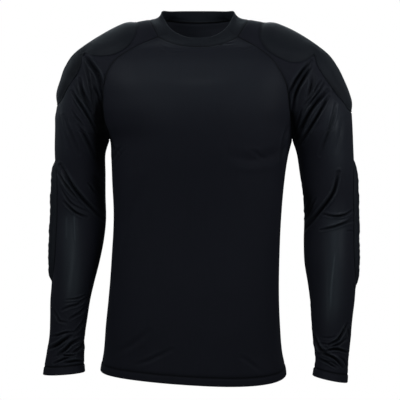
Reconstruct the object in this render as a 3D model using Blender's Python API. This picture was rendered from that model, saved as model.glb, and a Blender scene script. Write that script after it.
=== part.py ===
"""A padded compression shirt as a hollow worn form: a raglan crew-neck top with sewn-on pads.

Every size and place below is in millimetres, and the meshes are scaled to metres when they are made.
+X is to the right as seen from the front, the front faces -Y, and +Z is up. The origin is the middle of
the neck opening, level with the high point of the shoulders, where the wearer's neck holds the shirt up.
"left" and "right" in names are as seen from the front.
"""

import bmesh
import bpy
import numpy as np

METRES = 0.001

# Driving dimensions of an adult size M: one layer of cloth, a turned edge, and the gap at a seam
WALL = 1.5
HEM_WALL = 2.4
SEAM_GAP = 0.3
ARMPIT_EASE = 0.6
ARMPIT_REACH = 30.0

# The hem: its height at either side seam, how far it drops at the middle, and the turned edge's height
HEM_LEFT = -661.0
HEM_RIGHT = -667.0
HEM_HEIGHT = 17.0
SIDE_SEAM_LENGTH = 435.0
HEM_DROP_FRONT = 19.0
HEM_DROP_BACK = 15.0
HEM_DROP_POWER = 0.65
HEM_LEAN = 4.0

# Shape of the sections, and how far the back raglan seams end above and inside the front ones
SECTION_POWER = 2.2
BACK_SEAM_RISE = 42.0
BACK_SEAM_INSET = 12.0
BACK_DEPTH_RATIO = 0.95
DEEPEST_EXCESS = 0.1
COLLAR_HOLLOW = 4.5
COLLAR_DIP = 0.6

# Pads: the gap under them, their thickness, and how their top gets lower at the edge
PAD_LIFT = 2.0
SHOULDER_PAD_THICK = 3.5
ELBOW_PAD_THICK = 6.5
PAD_EDGE_THINNING = 0.7
PAD_EDGE_POWER = 5
INSIDE_DROP = 20.0
NEARBY = 1e-3

# Powers that shape the body's rows: even spacing, sag, the fit to the neckline, and the fit to the armpits
SPREAD_POWER = 1.5
SAG_POWER = 2.5
TOP_POWER = 6
ARMPIT_POWER = 8

# A fold's cross-section, in widths of the fold, and how near the outer line it fades out
FOLD_BANK = 0.45
FOLD_BANK_PLACE = 1.9
FOLD_END = 0.06
FOLD_FADE = 25.0

# Cells of each grid, and steps of the finer curves that its points are spaced along
BODY_COLUMNS = 20
BODY_ROWS = 11
SLEEVE_AROUND = 24
SLEEVE_RING_STEPS = 23
SLEEVE_ARC_STEPS = 9
COLLAR_ROWS = 2
PAD_RINGS = 8
SHOULDER_PAD_SPOKES = 40
ELBOW_PAD_CELLS = (8, 12)
NECK_LEAD = SLEEVE_AROUND // 4
FOLD_STEPS = 13
TURN_STEPS = 80
CURVE_STEPS = 400

# Sections of the body, a row for each height: half widths to either side and half depths to front and back
TORSO_COLUMNS = "z left right front back"
TORSO_ROWS = (
    (-705, 186, 168, 108, 105),
    (-665, 184, 166, 107, 104),
    (-630, 178, 159, 105, 102),
    (-580, 174, 155, 103, 99),
    (-520, 168, 153, 100, 94),
    (-450, 163, 154, 97, 88),
    (-380, 159, 157, 98, 87),
    (-310, 162, 163, 105, 94),
    (-262, 164, 170, 112, 100),
    (-229, 167, 178, 116, 104),
    (-203, 184, 182, 118, 106),
    (-178, 198, 190, 118, 107),
    (-152, 206, 196, 115, 107),
    (-128, 213, 199, 110, 106),
    (-104, 219, 200, 100, 103),
    (-81, 215, 195, 89, 99),
    (-61, 196, 178, 75, 93),
    (-39, 167, 160, 48, 84),
    (-18, 150, 148, 34, 74),
    (6, 130, 130, 30, 59),
)

# Rings of each sleeve from cuff to armpit, then arcs from armpit to neck, a row for each station. The inner
# point of a ring lies on the underarm seam, and that of an arc on the front raglan seam. "deepest" says how
# far along the way from the inner point to the outer one the section is deepest: below zero that place is
# inside the body.
SLEEVE_COLUMNS = "inner_x inner_z outer_x outer_z mid_y half_depth deepest"
SLEEVE_RINGS_LEFT = (
    (-212, -665, -290, -670, -26, 40, 0.50),
    (-213, -650, -288, -655, -25, 37, 0.50),
    (-213, -627, -284, -631, -23, 34, 0.50),
    (-212, -597, -279, -599, -20, 34, 0.50),
    (-208, -567, -278, -567, -16, 36, 0.50),
    (-203, -533, -278, -533, -11, 40, 0.50),
    (-196, -501, -276, -501, -6, 44, 0.50),
    (-186, -461, -275, -461, -1, 48, 0.50),
    (-178, -420, -275, -420, 4, 50, 0.50),
    (-174, -380, -273, -378, 7, 51, 0.50),
    (-175, -336, -272, -334, 8, 53, 0.50),
    (-175, -295, -270, -291, 7, 56, 0.50),
    (-175, -257, -271, -249, 4, 60, 0.49),
    (-167, -229, -270, -208, 0, 64, 0.48),
)
SLEEVE_RINGS_RIGHT = (
    (215, -672, 280, -685, -26, 40, 0.50),
    (217, -660, 281, -670, -25, 37, 0.50),
    (220, -641, 282, -646, -23, 34, 0.50),
    (216, -609, 286, -611, -20, 34, 0.50),
    (213, -571, 290, -571, -16, 36, 0.50),
    (211, -534, 295, -533, -11, 40, 0.50),
    (207, -501, 298, -501, -6, 44, 0.50),
    (201, -461, 298, -461, -1, 48, 0.50),
    (200, -420, 298, -420, 4, 50, 0.50),
    (201, -380, 298, -378, 7, 51, 0.50),
    (199, -336, 297, -334, 8, 53, 0.50),
    (193, -295, 296, -291, 7, 56, 0.50),
    (187, -257, 294, -249, 4, 60, 0.49),
    (178, -229, 292, -208, 0, 64, 0.48),
)
SLEEVE_ARCS_LEFT = (
    (-168, -215, -270, -189, 1, 66, 0.46),
    (-173, -202, -268, -176, 2, 68, 0.43),
    (-176, -177, -265, -157, 3, 70, 0.36),
    (-176, -151, -262, -138, 4, 71, 0.22),
    (-174, -128, -256, -119, 4, 71, 0.00),
    (-166, -104, -247, -94, 4, 71, -0.35),
    (-150, -81, -227, -67, 4, 71, -1.00),
    (-120, -61, -176, -33, 3, 66, -1.60),
    (-96, -49, -132, -12, 1, 56, -1.60),
    (-74, -39, -91, -3, 0, 44, -1.20),
)
SLEEVE_ARCS_RIGHT = (
    (177, -215, 291, -189, 1, 66, 0.46),
    (175, -202, 290, -176, 2, 68, 0.43),
    (171, -177, 286, -157, 3, 70, 0.36),
    (168, -151, 280, -138, 4, 71, 0.22),
    (163, -128, 272, -119, 4, 71, 0.00),
    (152, -104, 260, -95, 4, 71, -0.35),
    (136, -81, 239, -68, 4, 71, -1.00),
    (111, -61, 190, -34, 3, 66, -1.60),
    (91, -49, 143, -13, 1, 56, -1.60),
    (74, -39, 95, -3, 0, 44, -1.20),
)
ARMPIT = len(SLEEVE_RINGS_LEFT) - 1
NECK = ARMPIT + len(SLEEVE_ARCS_LEFT)

# Edge of the neck opening (x, y, z), half of it, from the front round to the back
OPENING_ROWS = (
    (0, -62, -43),
    (26, -57, -40),
    (49, -42, -27),
    (61, -22, -10),
    (69, 4, 12),
    (52, 44, 17),
    (0, 60, 19),
)

# The body's neckline (x, z) at its middle and half way to a raglan seam
NECKLINE_FRONT = ((0, -60), (38, -56))
NECKLINE_BACK = ((0, -2), (34, 0))

# The widest folds of the sleeves, seen from the front: a start, a bend and an end, then width and depth
FOLD_COLUMNS = "x0 z0 x1 z1 x2 z2 width depth"
FOLDS_LEFT = (
    (-215, -76, -195, -98, -180, -150, 9, 3.0),
    (-226, -102, -206, -151, -184, -190, 9, 3.5),
    (-243, -160, -222, -205, -184, -240, 11, 3.0),
    (-266, -290, -243, -331, -182, -372, 10, 4.5),
    (-262, -322, -246, -358, -206, -382, 9, 3.5),
    (-276, -622, -262, -616, -236, -588, 9, 3.0),
    (-262, -640, -244, -622, -222, -600, 9, 2.5),
)
FOLDS_RIGHT = (
    (222, -76, 200, -108, 176, -160, 9, 3.0),
    (236, -112, 212, -160, 190, -200, 9, 3.5),
    (262, -166, 236, -212, 200, -252, 11, 3.0),
    (276, -296, 256, -345, 208, -384, 10, 4.5),
    (288, -378, 262, -382, 228, -402, 9, 3.0),
    (286, -590, 262, -612, 232, -626, 9, 3.0),
    (278, -640, 256, -632, 226, -606, 9, 2.5),
)

# Outline of a shoulder pad on its sleeve: the station, and the share of the way from the shoulder line to
# the raglan seam as seen from the front. It is below zero on the front half and above zero on the back half.
SHOULDER_PAD_OUTLINES = {
    "left": (
        (22.35, 0.00),
        (22.30, -0.18),
        (21.96, -0.48),
        (21.62, -0.66),
        (21.20, -0.79),
        (20.80, -0.87),
        (20.26, -0.85),
        (19.99, -0.65),
        (19.96, -0.41),
        (20.01, -0.28),
        (20.07, -0.16),
        (19.38, -0.29),
        (18.63, -0.33),
        (18.04, -0.27),
        (17.33, -0.20),
        (16.36, -0.13),
        (15.80, -0.05),
        (15.60, 0.00),
        (15.90, 0.05),
        (16.80, 0.18),
        (18.00, 0.34),
        (19.20, 0.48),
        (20.40, 0.60),
        (21.30, 0.58),
        (21.90, 0.40),
        (22.20, 0.20),
    ),
    "right": (
        (22.35, 0.00),
        (22.33, -0.19),
        (22.09, -0.46),
        (21.71, -0.68),
        (21.09, -0.84),
        (20.62, -0.90),
        (20.18, -0.89),
        (19.85, -0.83),
        (19.60, -0.75),
        (19.50, -0.65),
        (19.56, -0.52),
        (19.74, -0.38),
        (19.99, -0.22),
        (19.22, -0.31),
        (18.26, -0.30),
        (16.86, -0.22),
        (15.88, -0.12),
        (15.10, -0.05),
        (14.90, 0.00),
        (15.20, 0.05),
        (16.40, 0.18),
        (17.80, 0.34),
        (19.20, 0.48),
        (20.40, 0.60),
        (21.30, 0.58),
        (21.90, 0.40),
        (22.20, 0.20),
    ),
}
SHOULDER_PAD_NOTCH = {"left": 10, "right": 12}
SHOULDER_PAD_MIDDLE = {"left": (20.6, 0.06), "right": (21.2, 0.06)}
PAD_RING_POWER = 0.85
STATION_LENGTH = 30.0
REACH_LENGTH = 90.0

# An elbow pad is a rounded oblong on the outer and back side of its sleeve, between two stations
ELBOW_PAD_ENDS = {"left": (6.0, 11.6), "right": (5.7, 11.4)}
ELBOW_PAD_FRONT = -0.26
ELBOW_PAD_BACK = 0.72
ELBOW_PAD_ROUNDING = 0.35
ELBOW_PAD_POWER = 6

CLOTH_COLOUR = (0.012, 0.014, 0.018)
PAD_COLOUR = (0.016, 0.019, 0.024)
COLLAR_COLOUR = (0.014, 0.016, 0.021)
SMOOTH_KNIT = 0.5
RIB_KNIT = 0.55
SHARP_ANGLE = 50.0
SHARPEST_CORNER = 0.3
SMALL = 1e-6


def read(names, rows):
    """The columns of a table by name."""
    return dict(zip(names.split(), np.array(rows, float).T))


def curve_through(knots, values, at):
    """A smooth curve through values at rising knots, with slopes from each knot's two neighbours."""
    knots = np.asarray(knots, float)
    values = np.asarray(values, float)
    at = np.clip(at, knots[0], knots[-1])
    steps = np.diff(values, axis=0) / np.diff(knots).reshape((-1,) + (1,) * (values.ndim - 1))
    slopes = np.concatenate([steps[:1], (steps[1:] + steps[:-1]) / 2, steps[-1:]])
    low = np.clip(np.searchsorted(knots, at, side="right") - 1, 0, len(knots) - 2)
    span = knots[low + 1] - knots[low]
    t = (at - knots[low]) / span
    if values.ndim > 1:
        t = t[..., None]
        span = span[..., None]
    start = (1 + 2 * t) * (1 - t) ** 2 * values[low] + t * (1 - t) ** 2 * span * slopes[low]
    end = t**2 * (3 - 2 * t) * values[low + 1] + t**2 * (t - 1) * span * slopes[low + 1]
    return start + end


def unit(vectors):
    """The vectors at length one."""
    return vectors / np.maximum(np.linalg.norm(vectors, axis=-1, keepdims=True), SMALL)


TORSO = read(TORSO_COLUMNS, TORSO_ROWS)


def torso_y(x, z, side):
    """The body's surface at x and z: a rounded section whose half widths and depths come from its table."""
    half_width = np.where(
        x < 0,
        curve_through(TORSO["z"], TORSO["left"], z),
        curve_through(TORSO["z"], TORSO["right"], z),
    )
    half_depth = curve_through(TORSO["z"], TORSO["front" if side < 0 else "back"], z)
    across = np.clip(np.abs(x) / half_width, 0, 1)
    return side * half_depth * (1 - across**SECTION_POWER) ** (1 / SECTION_POWER)


def sleeve_table(rings, arcs):
    """The rows of a sleeve by name, with a station number for each row."""
    table = read(SLEEVE_COLUMNS, rings + arcs)
    table["station"] = np.arange(len(rings + arcs), dtype=float)
    return table


def sleeve_values(table, station):
    """Every column of a sleeve at stations between its rows."""
    names = SLEEVE_COLUMNS.split()
    return {name: curve_through(table["station"], table[name], station) for name in names}


def seam_point(table, station, side):
    """A point of the front or back raglan seam above the armpit, and of the underarm seam below it."""
    now = sleeve_values(table, station)
    climb = np.clip((station - ARMPIT) / (NECK - ARMPIT), 0, 1) ** 3
    x = now["inner_x"]
    z = now["inner_z"]
    if side > 0:
        x = x - np.sign(x) * BACK_SEAM_INSET * climb
        z = z + BACK_SEAM_RISE * climb
    open_now = np.clip(station - ARMPIT, 0, 1)
    y = np.where(station > ARMPIT, torso_y(x, z, side), now["mid_y"] * (1 - open_now))
    return np.stack([x, y, z], -1)


def half_section(table, station, side, turn):
    """Half of a sleeve's section from its outer line (turn 0) to its seam (turn 1).

    It is made of parts of two ellipses. The outer one runs from the outer line to the deepest place, and the
    inner one from there to the seam. Where the deepest place would be inside the body, a single part of one
    ellipse runs all the way.
    """
    now = sleeve_values(table, station)
    seam = seam_point(table, station, side)
    outer = np.stack([now["outer_x"], now["mid_y"], now["outer_z"]], -1)
    way = (outer - seam) * (1, 0, 1)
    length = np.linalg.norm(way, axis=-1)
    at_seam = np.abs(seam[..., 1] - now["mid_y"])
    deepest = now["deepest"]
    depth = now["half_depth"] * (1 if side < 0 else BACK_DEPTH_RATIO)
    inside = np.clip(-deepest, 0, None) / (1 + np.clip(-deepest, 0, None))
    last_inside = np.arccos(inside)
    depth = np.where(
        deepest > 0,
        np.maximum(depth, at_seam * (1 + DEEPEST_EXCESS * np.clip(deepest, 0, 1)) + SMALL),
        at_seam / np.sin(last_inside),
    )
    narrowing = np.sqrt(np.clip(1 - (at_seam / depth) ** 2, SMALL, 1))
    last = np.where(deepest > 0, np.pi / 2 + np.arcsin(narrowing), last_inside)
    angle = turn * last
    inner_reach = np.clip(deepest, 0, 1) * length / narrowing
    reach = np.where(angle < np.pi / 2, (1 - deepest) * length, inner_reach)
    along = deepest * length + reach * np.cos(angle)
    points = seam + unit(way) * along[..., None]
    points[..., 1] = now["mid_y"] + side * depth * np.sin(angle)
    return points


def neckline(grids):
    """The seam between body and collar, by stretches: front, right sleeve, back and left sleeve.

    A sleeve's stretch is the top row of its grid. The others are smooth curves through their rows, which
    start and end in line with the sleeves.
    """
    left, right = grids[0][-1], grids[1][-1]
    stretches = []
    for side, rows in ((-1, NECKLINE_FRONT), (1, NECKLINE_BACK)):
        middle = [np.array([x, float(torso_y(np.array(x), np.array(z), side)), z]) for x, z in rows]
        one, other = (left, right) if side < 0 else (left[::-1], right[::-1])
        mirrored = middle[1] * (-1, 1, 1)
        through = [one[NECK_LEAD], one[0], mirrored, middle[0], middle[1], other[0], other[NECK_LEAD]]
        inside = np.linspace(1, len(through) - 2, CURVE_STEPS)
        fine = curve_through(np.arange(float(len(through))), np.array(through), inside)
        stretches.append(evenly(fine[None], np.linspace(0, 1, BODY_COLUMNS + 1)[None])[0])
    front, back = stretches
    return front, right, back[::-1], left[::-1]


def evenly(curves, fractions):
    """Points at the given fractions of the length of each curve."""
    steps = np.linalg.norm(np.diff(curves, axis=1), axis=-1)
    length = np.concatenate([np.zeros((len(curves), 1)), np.cumsum(steps, axis=1)], axis=1)
    length /= length[:, -1:]
    found = np.empty((len(curves), fractions.shape[1], 3))
    for row in range(len(curves)):
        for axis in range(3):
            found[row, :, axis] = np.interp(fractions[row], length[row], curves[row, :, axis])
    return found


def sleeve_stations():
    """Stations of the sleeve's grid rows, from the cuff to the armpit and from there to the neck."""
    rings = ARMPIT * np.linspace(0, 1, SLEEVE_RING_STEPS + 1)
    arcs = ARMPIT + (NECK - ARMPIT) * np.linspace(0, 1, SLEEVE_ARC_STEPS + 1)
    return np.concatenate([rings, arcs[1:]])


def sleeve_grid(table):
    """Rows from cuff to neck, each running from the front seam over the outer line to the back seam."""
    stations = sleeve_stations()
    turn = np.linspace(0, 1, TURN_STEPS)[None]
    front = half_section(table, stations[:, None] + 0 * turn, -1, turn)
    back = half_section(table, stations[:, None] + 0 * turn, 1, turn)
    whole = np.concatenate([front[:, ::-1], back[:, 1:]], axis=1)
    fractions = np.tile(np.linspace(0, 1, SLEEVE_AROUND + 1), (len(stations), 1))
    return evenly(whole, fractions)


def body_grid(side, sleeves, top_edge):
    """Rows from hem to neckline, each running from the left seam to the right seam.

    Below the armpits a row is half a section of the body. Above them it runs from raglan seam to raglan
    seam, and it sags more and more towards the neckline.
    """
    left, right = sleeves
    across = np.linspace(0, 1, BODY_COLUMNS + 1)
    bunched = (1 - np.cos(np.pi * across)) / 2
    arcs = sleeve_stations()[SLEEVE_RING_STEPS:]
    climb = (arcs - ARMPIT) / (NECK - ARMPIT)
    seam_left = seam_point(left, arcs, side)
    seam_right = seam_point(right, arcs, side)
    blend = climb[:, None] ** SPREAD_POWER
    share = bunched * (1 - blend) + across * blend
    x = seam_left[:, :1] + (seam_right[:, :1] - seam_left[:, :1]) * share
    z = seam_left[:, 2:] + (seam_right[:, 2:] - seam_left[:, 2:]) * share
    sag = np.array(NECKLINE_FRONT if side < 0 else NECKLINE_BACK)[0, 1] - seam_left[-1, 2]
    z = z + sag * climb[:, None] ** SAG_POWER * np.sin(np.pi * across)
    upper = np.stack([x, torso_y(x, z, side), z], -1)
    upper[:, 0] = seam_left
    upper[:, -1] = seam_right
    upper = upper + climb[:, None, None] ** TOP_POWER * (top_edge - upper[-1])
    hem_z = hem_height(side, across)
    rise = hem_rows()[:-1, None]
    z = hem_z + (upper[0, :, 2] - hem_z) * rise
    half_left = curve_through(TORSO["z"], TORSO["left"], z)
    half_right = curve_through(TORSO["z"], TORSO["right"], z)
    turned = -np.cos(np.pi * across) + 0 * rise
    row = upper[0, :, 0]
    at_armpit = np.where(row < 0, row / -row[0], row / row[-1])
    turned = turned + rise**ARMPIT_POWER * (at_armpit - turned)
    x = np.where(turned < 0, turned * half_left, turned * half_right)
    lower = np.stack([x, torso_y(x, z, side), z], -1)
    lower[:, 0, 1] = 0
    lower[:, -1, 1] = 0
    return np.concatenate([lower, upper])


def hem_rows():
    """Fractions of the height from hem to armpit at the rows, with one row at the top of the turned hem."""
    return np.concatenate([[0], np.linspace(HEM_HEIGHT / SIDE_SEAM_LENGTH, 1, BODY_ROWS)])


def hem_height(side, across):
    """The hem's height from side seam to side seam: it drops towards the middle and leans a little."""
    ends = HEM_LEFT + (HEM_RIGHT - HEM_LEFT) * across
    drop = HEM_DROP_FRONT if side < 0 else HEM_DROP_BACK
    middle = drop * np.sin(np.pi * across) ** HEM_DROP_POWER
    return ends - middle + HEM_LEAN * np.sin(2 * np.pi * across)


def collar_grid(stretches):
    """A band from the neckline up to the edge of the neck opening, hollow at the sides of the neck."""
    lower = np.concatenate([stretch[:-1] for stretch in stretches])
    lower = np.concatenate([lower, lower[:1]])
    half = np.array(OPENING_ROWS, float)
    mirrored = half[-2:0:-1] * (-1, 1, 1)
    loop = np.concatenate([mirrored[-2:], half, mirrored, half[:3]])
    knots = np.arange(-2.0, len(loop) - 2)
    fine = curve_through(knots, loop, np.linspace(0, len(half) * 2 - 2, 5 * CURVE_STEPS))
    middle = lower[:-1].mean(axis=0)
    fine_angle = np.unwrap(np.arctan2(fine[:, 0] - middle[0], middle[1] - fine[:, 1]))
    angle = np.unwrap(np.arctan2(lower[:, 0] - middle[0], middle[1] - lower[:, 1]))
    angle = (angle - fine_angle[0]) % (2 * np.pi) + fine_angle[0]
    upper = np.stack([np.interp(angle, fine_angle, fine[:, axis]) for axis in range(3)], -1)
    rise = np.linspace(0, 1, COLLAR_ROWS + 1)[:, None, None]
    outwards = unit((lower - middle) * (1, 1, 0))
    hollow = COLLAR_HOLLOW * outwards[:, :1] ** 2 * (outwards * (1, 1, 0) + (0, 0, COLLAR_DIP))
    return lower + (upper - lower) * rise - hollow * np.sin(np.pi * rise)


def fold_depth(points, rows):
    """How far a sleeve's front is pushed in at points: each fold is a soft trough with low banks."""
    depth = np.zeros(len(points))
    table = read(FOLD_COLUMNS, rows)
    along = np.linspace(0, 1, FOLD_STEPS)
    for row in range(len(rows)):
        fold = {name: table[name][row] for name in table}
        bends = (1 - along) ** 2, 2 * along * (1 - along), along**2
        x = bends[0] * fold["x0"] + bends[1] * fold["x1"] + bends[2] * fold["x2"]
        z = bends[0] * fold["z0"] + bends[1] * fold["z1"] + bends[2] * fold["z2"]
        away = np.hypot(points[:, None, 0] - x, points[:, None, 2] - z) / fold["width"]
        fade = np.sin(np.pi * np.clip(along, FOLD_END, 1 - FOLD_END)) ** 0.5
        section = np.exp(-(away**2)) - FOLD_BANK * np.exp(-((away - FOLD_BANK_PLACE) ** 2))
        depth += fold["depth"] * (fade * section).max(axis=1)
    return depth * np.clip(-points[:, 1] / FOLD_FADE, 0, 1)


def grid_faces(rows, columns, closed_rows=0):
    """Quads of a grid. Below closed_rows the last column is the first one again."""
    index = np.arange(rows * columns).reshape(rows, columns)
    index[:closed_rows, -1] = index[:closed_rows, 0]
    quads = np.stack([index[:-1, :-1], index[:-1, 1:], index[1:, 1:], index[1:, :-1]], -1)
    return quads.reshape(-1, 4)


def used_only(points, faces):
    """The points that faces use, and the faces in their numbering."""
    kept, numbers = np.unique(faces, return_inverse=True)
    return points[kept], numbers.reshape(faces.shape)


def normals_of(pieces):
    """Normals of all the cloth pieces as one skin, so that two pieces share them along a seam."""
    points = np.concatenate([piece["points"] for piece in pieces])
    _, skin = np.unique(np.round(points, 4), axis=0, return_inverse=True)
    skin = skin.reshape(-1)
    total = np.zeros((skin.max() + 1, 3))
    start = 0
    for piece in pieces:
        corners = piece["points"][piece["faces"]]
        facing = np.cross(corners[:, 2] - corners[:, 0], corners[:, 3] - corners[:, 1])
        for corner in range(4):
            np.add.at(total, skin[start + piece["faces"][:, corner]], facing)
        start += len(piece["points"])
    normals = unit(total)[skin]
    start = 0
    for piece in pieces:
        piece["normals"] = normals[start : start + len(piece["points"])]
        start += len(piece["points"])


def edge_pairs(faces):
    """The directed edges that only one face uses."""
    ends = np.concatenate([faces[:, [k, (k + 1) % faces.shape[1]]] for k in range(faces.shape[1])])
    sort = np.sort(ends, axis=1)
    _, index, count = np.unique(sort, axis=0, return_inverse=True, return_counts=True)
    return ends[count[index.reshape(-1)] == 1]


def pull_back(piece, distance):
    """Draws a piece's edges back from its seams, and a little more at the armpits.

    Two edges that meet at a corner both stay at the distance, so the corner moves by their mitre.
    """
    edges = edge_pairs(piece["faces"])
    points = piece["points"]
    ways = unit(points[edges[:, 1]] - points[edges[:, 0]])
    inwards = np.zeros((len(points), 3))
    first = np.zeros((len(points), 3))
    second = np.zeros((len(points), 3))
    first[edges[:, 1]] = unit(np.cross(piece["normals"][edges[:, 1]], ways))
    second[edges[:, 0]] = unit(np.cross(piece["normals"][edges[:, 0]], ways))
    together = 1 + (first * second).sum(axis=1, keepdims=True)
    on_edge = np.unique(edges)
    inwards[on_edge] = ((first + second) / np.maximum(together, SHARPEST_CORNER))[on_edge]
    armpits = [(rows[-1][0], rows[-1][4], rows[-1][1]) for rows in (SLEEVE_RINGS_LEFT, SLEEVE_RINGS_RIGHT)]
    away = np.linalg.norm(points[:, None] - np.array(armpits), axis=-1) / ARMPIT_REACH
    ease = np.exp(-(away**2)).sum(axis=1, keepdims=True)
    return points + inwards * (distance + ARMPIT_EASE * ease)


def between(outer, inner, faces):
    """A closed wall from its outer points, its inner points in the same order, and a rim round the edge."""
    count = len(outer)
    edges = edge_pairs(faces)
    rim = np.stack([edges[:, 1], edges[:, 0], edges[:, 0] + count, edges[:, 1] + count], -1)
    return np.concatenate([outer, inner]), np.concatenate([faces, faces[:, ::-1] + count, rim])


def wall(piece):
    """A cloth piece as a wall: its outer points drawn in along the normals by its thickness."""
    outer = pull_back(piece, SEAM_GAP / 2)
    return between(outer, outer - piece["normals"] * piece["wall"][:, None], piece["faces"])


def pad_points(table, stations, reach, rows):
    """Points of a sleeve at stations and reaches, with their normals.

    A reach runs from -1 at the front seam through 0 on the outer line to 1 at the back seam, as the square
    root of the way seen from the front.
    """

    def surface(station, place):
        front = sleeve_spot(table, station, -1, np.abs(place))
        back = sleeve_spot(table, station, 1, np.abs(place))
        return np.where(place[..., None] < 0, front, back)

    points = surface(stations, reach)
    along = surface(stations + NEARBY, reach) - surface(stations - NEARBY, reach)
    around = surface(stations, reach + NEARBY) - surface(stations, reach - NEARBY)
    normals = unit(np.cross(around, along))
    outwards = (normals * (points - sleeve_middle(table, stations))).sum(axis=-1, keepdims=True)
    normals = normals * np.sign(outwards)
    return points - normals * fold_depth(points, rows)[:, None], normals


def sleeve_middle(table, station):
    """A point well inside the sleeve at each station."""
    now = sleeve_values(table, station)
    x = (now["inner_x"] + now["outer_x"]) / 2
    z = (now["inner_z"] + now["outer_z"]) / 2 - INSIDE_DROP
    return np.stack([x, now["mid_y"], z], -1)


def sleeve_spot(table, station, side, reach):
    """The point of half a section at a reach, found from the turn that gives it."""
    turns = np.linspace(0, 1, TURN_STEPS)
    section = half_section(table, station[:, None] + 0 * turns, side, turns[None])
    seam = section[:, -1:]
    outer = section[:, :1]
    way = (outer - seam) * (1, 0, 1)
    share = 1 - ((section - seam) * way).sum(axis=-1) / (way**2).sum(axis=-1)
    turn = np.array([np.interp(reach[k] ** 2, share[k], turns) for k in range(len(reach))])
    return half_section(table, station, side, turn)


def pad_solid(name, sleeve, places, faces, share, thick):
    """A pad on a sleeve: its points lifted off the cloth, and a top that comes down towards the edge."""
    table, rows = sleeve
    on_sleeve, normals = pad_points(table, places[:, 0], places[:, 1], rows)
    height = thick * (1 - PAD_EDGE_THINNING * share**PAD_EDGE_POWER)
    under = on_sleeve + normals * PAD_LIFT
    add_mesh(name, *between(under + normals * height[:, None], under, faces), "pad")


def shoulder_pad(name, sleeve, side):
    """Rings of points from a pad's middle to its outline, with a strip of quads across the inmost ring."""
    station, share = SHOULDER_PAD_MIDDLE[side]
    middle = np.array((station, share**0.5))
    outline = shoulder_outline(side)
    ring = np.linspace(0, 1, PAD_RINGS + 1)[1:, None, None] ** PAD_RING_POWER
    places = (middle + (outline - middle) * ring).reshape(-1, 2)
    faces = grid_faces(PAD_RINGS, SHOULDER_PAD_SPOKES + 1, PAD_RINGS)
    index = np.arange(PAD_RINGS * (SHOULDER_PAD_SPOKES + 1)).reshape(PAD_RINGS, -1)[:, :-1]
    numbers = np.zeros(index.max() + 2, int)
    numbers[index.reshape(-1)] = np.arange(index.size)
    faces = numbers[faces]
    half = SHOULDER_PAD_SPOKES // 2
    across = np.arange(half - 1)
    fan = np.stack([across, across + 1, 2 * half - 2 - across, 2 * half - 1 - across], -1)
    faces = np.concatenate([faces, fan])
    shares = np.repeat(ring[:, 0, 0], SHOULDER_PAD_SPOKES)
    pad_solid(name, sleeve, places, faces, shares, SHOULDER_PAD_THICK)


def elbow_pad(name, sleeve, ends):
    """A grid drawn into a rounded oblong: rows get shorter at the ends, and columns at the sides."""
    over = np.linspace(-1, 1, ELBOW_PAD_CELLS[0] + 1)
    up = np.linspace(-1, 1, ELBOW_PAD_CELLS[1] + 1)[:, None]
    u = over * np.sqrt(1 - ELBOW_PAD_ROUNDING * up**ELBOW_PAD_POWER)
    v = up * np.sqrt(1 - ELBOW_PAD_ROUNDING * over**ELBOW_PAD_POWER)
    station = (ends[1] + ends[0]) / 2 + v * (ends[1] - ends[0]) / 2
    reach = (ELBOW_PAD_FRONT + ELBOW_PAD_BACK) / 2 + u * (ELBOW_PAD_BACK - ELBOW_PAD_FRONT) / 2
    places = np.stack([station, reach], -1).reshape(-1, 2)
    share = np.maximum(np.abs(over), np.abs(up)).reshape(-1)
    pad_solid(name, sleeve, places, grid_faces(len(up), len(over)), share, ELBOW_PAD_THICK)


def shoulder_outline(side):
    """The outline evenly spaced between its rows, with its notch kept sharp."""
    rows = np.array(SHOULDER_PAD_OUTLINES[side])
    notch = SHOULDER_PAD_NOTCH[side]
    rows[:, 1] = np.sign(rows[:, 1]) * np.sqrt(np.abs(rows[:, 1]))
    order = np.concatenate([rows[notch:], rows[: notch + 1]])
    knots = np.arange(float(len(order)))
    fine = curve_through(knots, order, np.linspace(0, len(order) - 1, CURVE_STEPS))
    scale = (STATION_LENGTH, REACH_LENGTH)
    scaled = np.concatenate([fine * scale, np.zeros((CURVE_STEPS, 1))], axis=1)
    spaced = evenly(scaled[None], np.linspace(0, 1, SHOULDER_PAD_SPOKES + 1)[None])[0, :-1]
    return spaced[:, :2] / scale


def material(name, colour, roughness):
    """Plain cloth of one colour."""
    made = bpy.data.materials.new(name)
    made.use_nodes = True
    shader = made.node_tree.nodes["Principled BSDF"]
    shader.inputs["Base Color"].default_value = (*colour, 1)
    shader.inputs["Roughness"].default_value = roughness
    shader.inputs["Metallic"].default_value = 0
    return made


def add_mesh(name, points, faces, finish):
    """One named object of a finish, in metres, with its faces pointing out and shaded smooth."""
    mesh = bpy.data.meshes.new(name)
    mesh.from_pydata((points * METRES).tolist(), [], faces.tolist())
    shape = bmesh.new()
    shape.from_mesh(mesh)
    bmesh.ops.recalc_face_normals(shape, faces=shape.faces)
    shape.to_mesh(mesh)
    shape.free()
    mesh.materials.append(FINISHES[finish])
    mesh.shade_smooth()
    mesh.set_sharp_from_angle(angle=np.radians(SHARP_ANGLE))
    made = bpy.data.objects.new(name, mesh)
    COLLECTION.objects.link(made)
    return made


def cloth_piece(name, grid, finish, closed_rows=0):
    """A piece of cloth from its grid of points."""
    rows, columns = grid.shape[:2]
    faces = grid_faces(rows, columns, closed_rows)
    points, faces = used_only(grid.reshape(-1, 3), faces)
    return {"name": name, "points": points, "faces": faces, "finish": finish}


def hem_walls(pieces):
    """Wall thickness at each point: twice the cloth where an edge is turned up, and one layer elsewhere."""
    for piece in pieces:
        piece["wall"] = np.full(len(piece["points"]), WALL)
    for piece in pieces[:2]:
        piece["wall"][: BODY_COLUMNS + 1] = HEM_WALL
    for piece in pieces[2:4]:
        piece["wall"][:SLEEVE_AROUND] = HEM_WALL
    pieces[4]["wall"][:] = HEM_WALL


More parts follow.
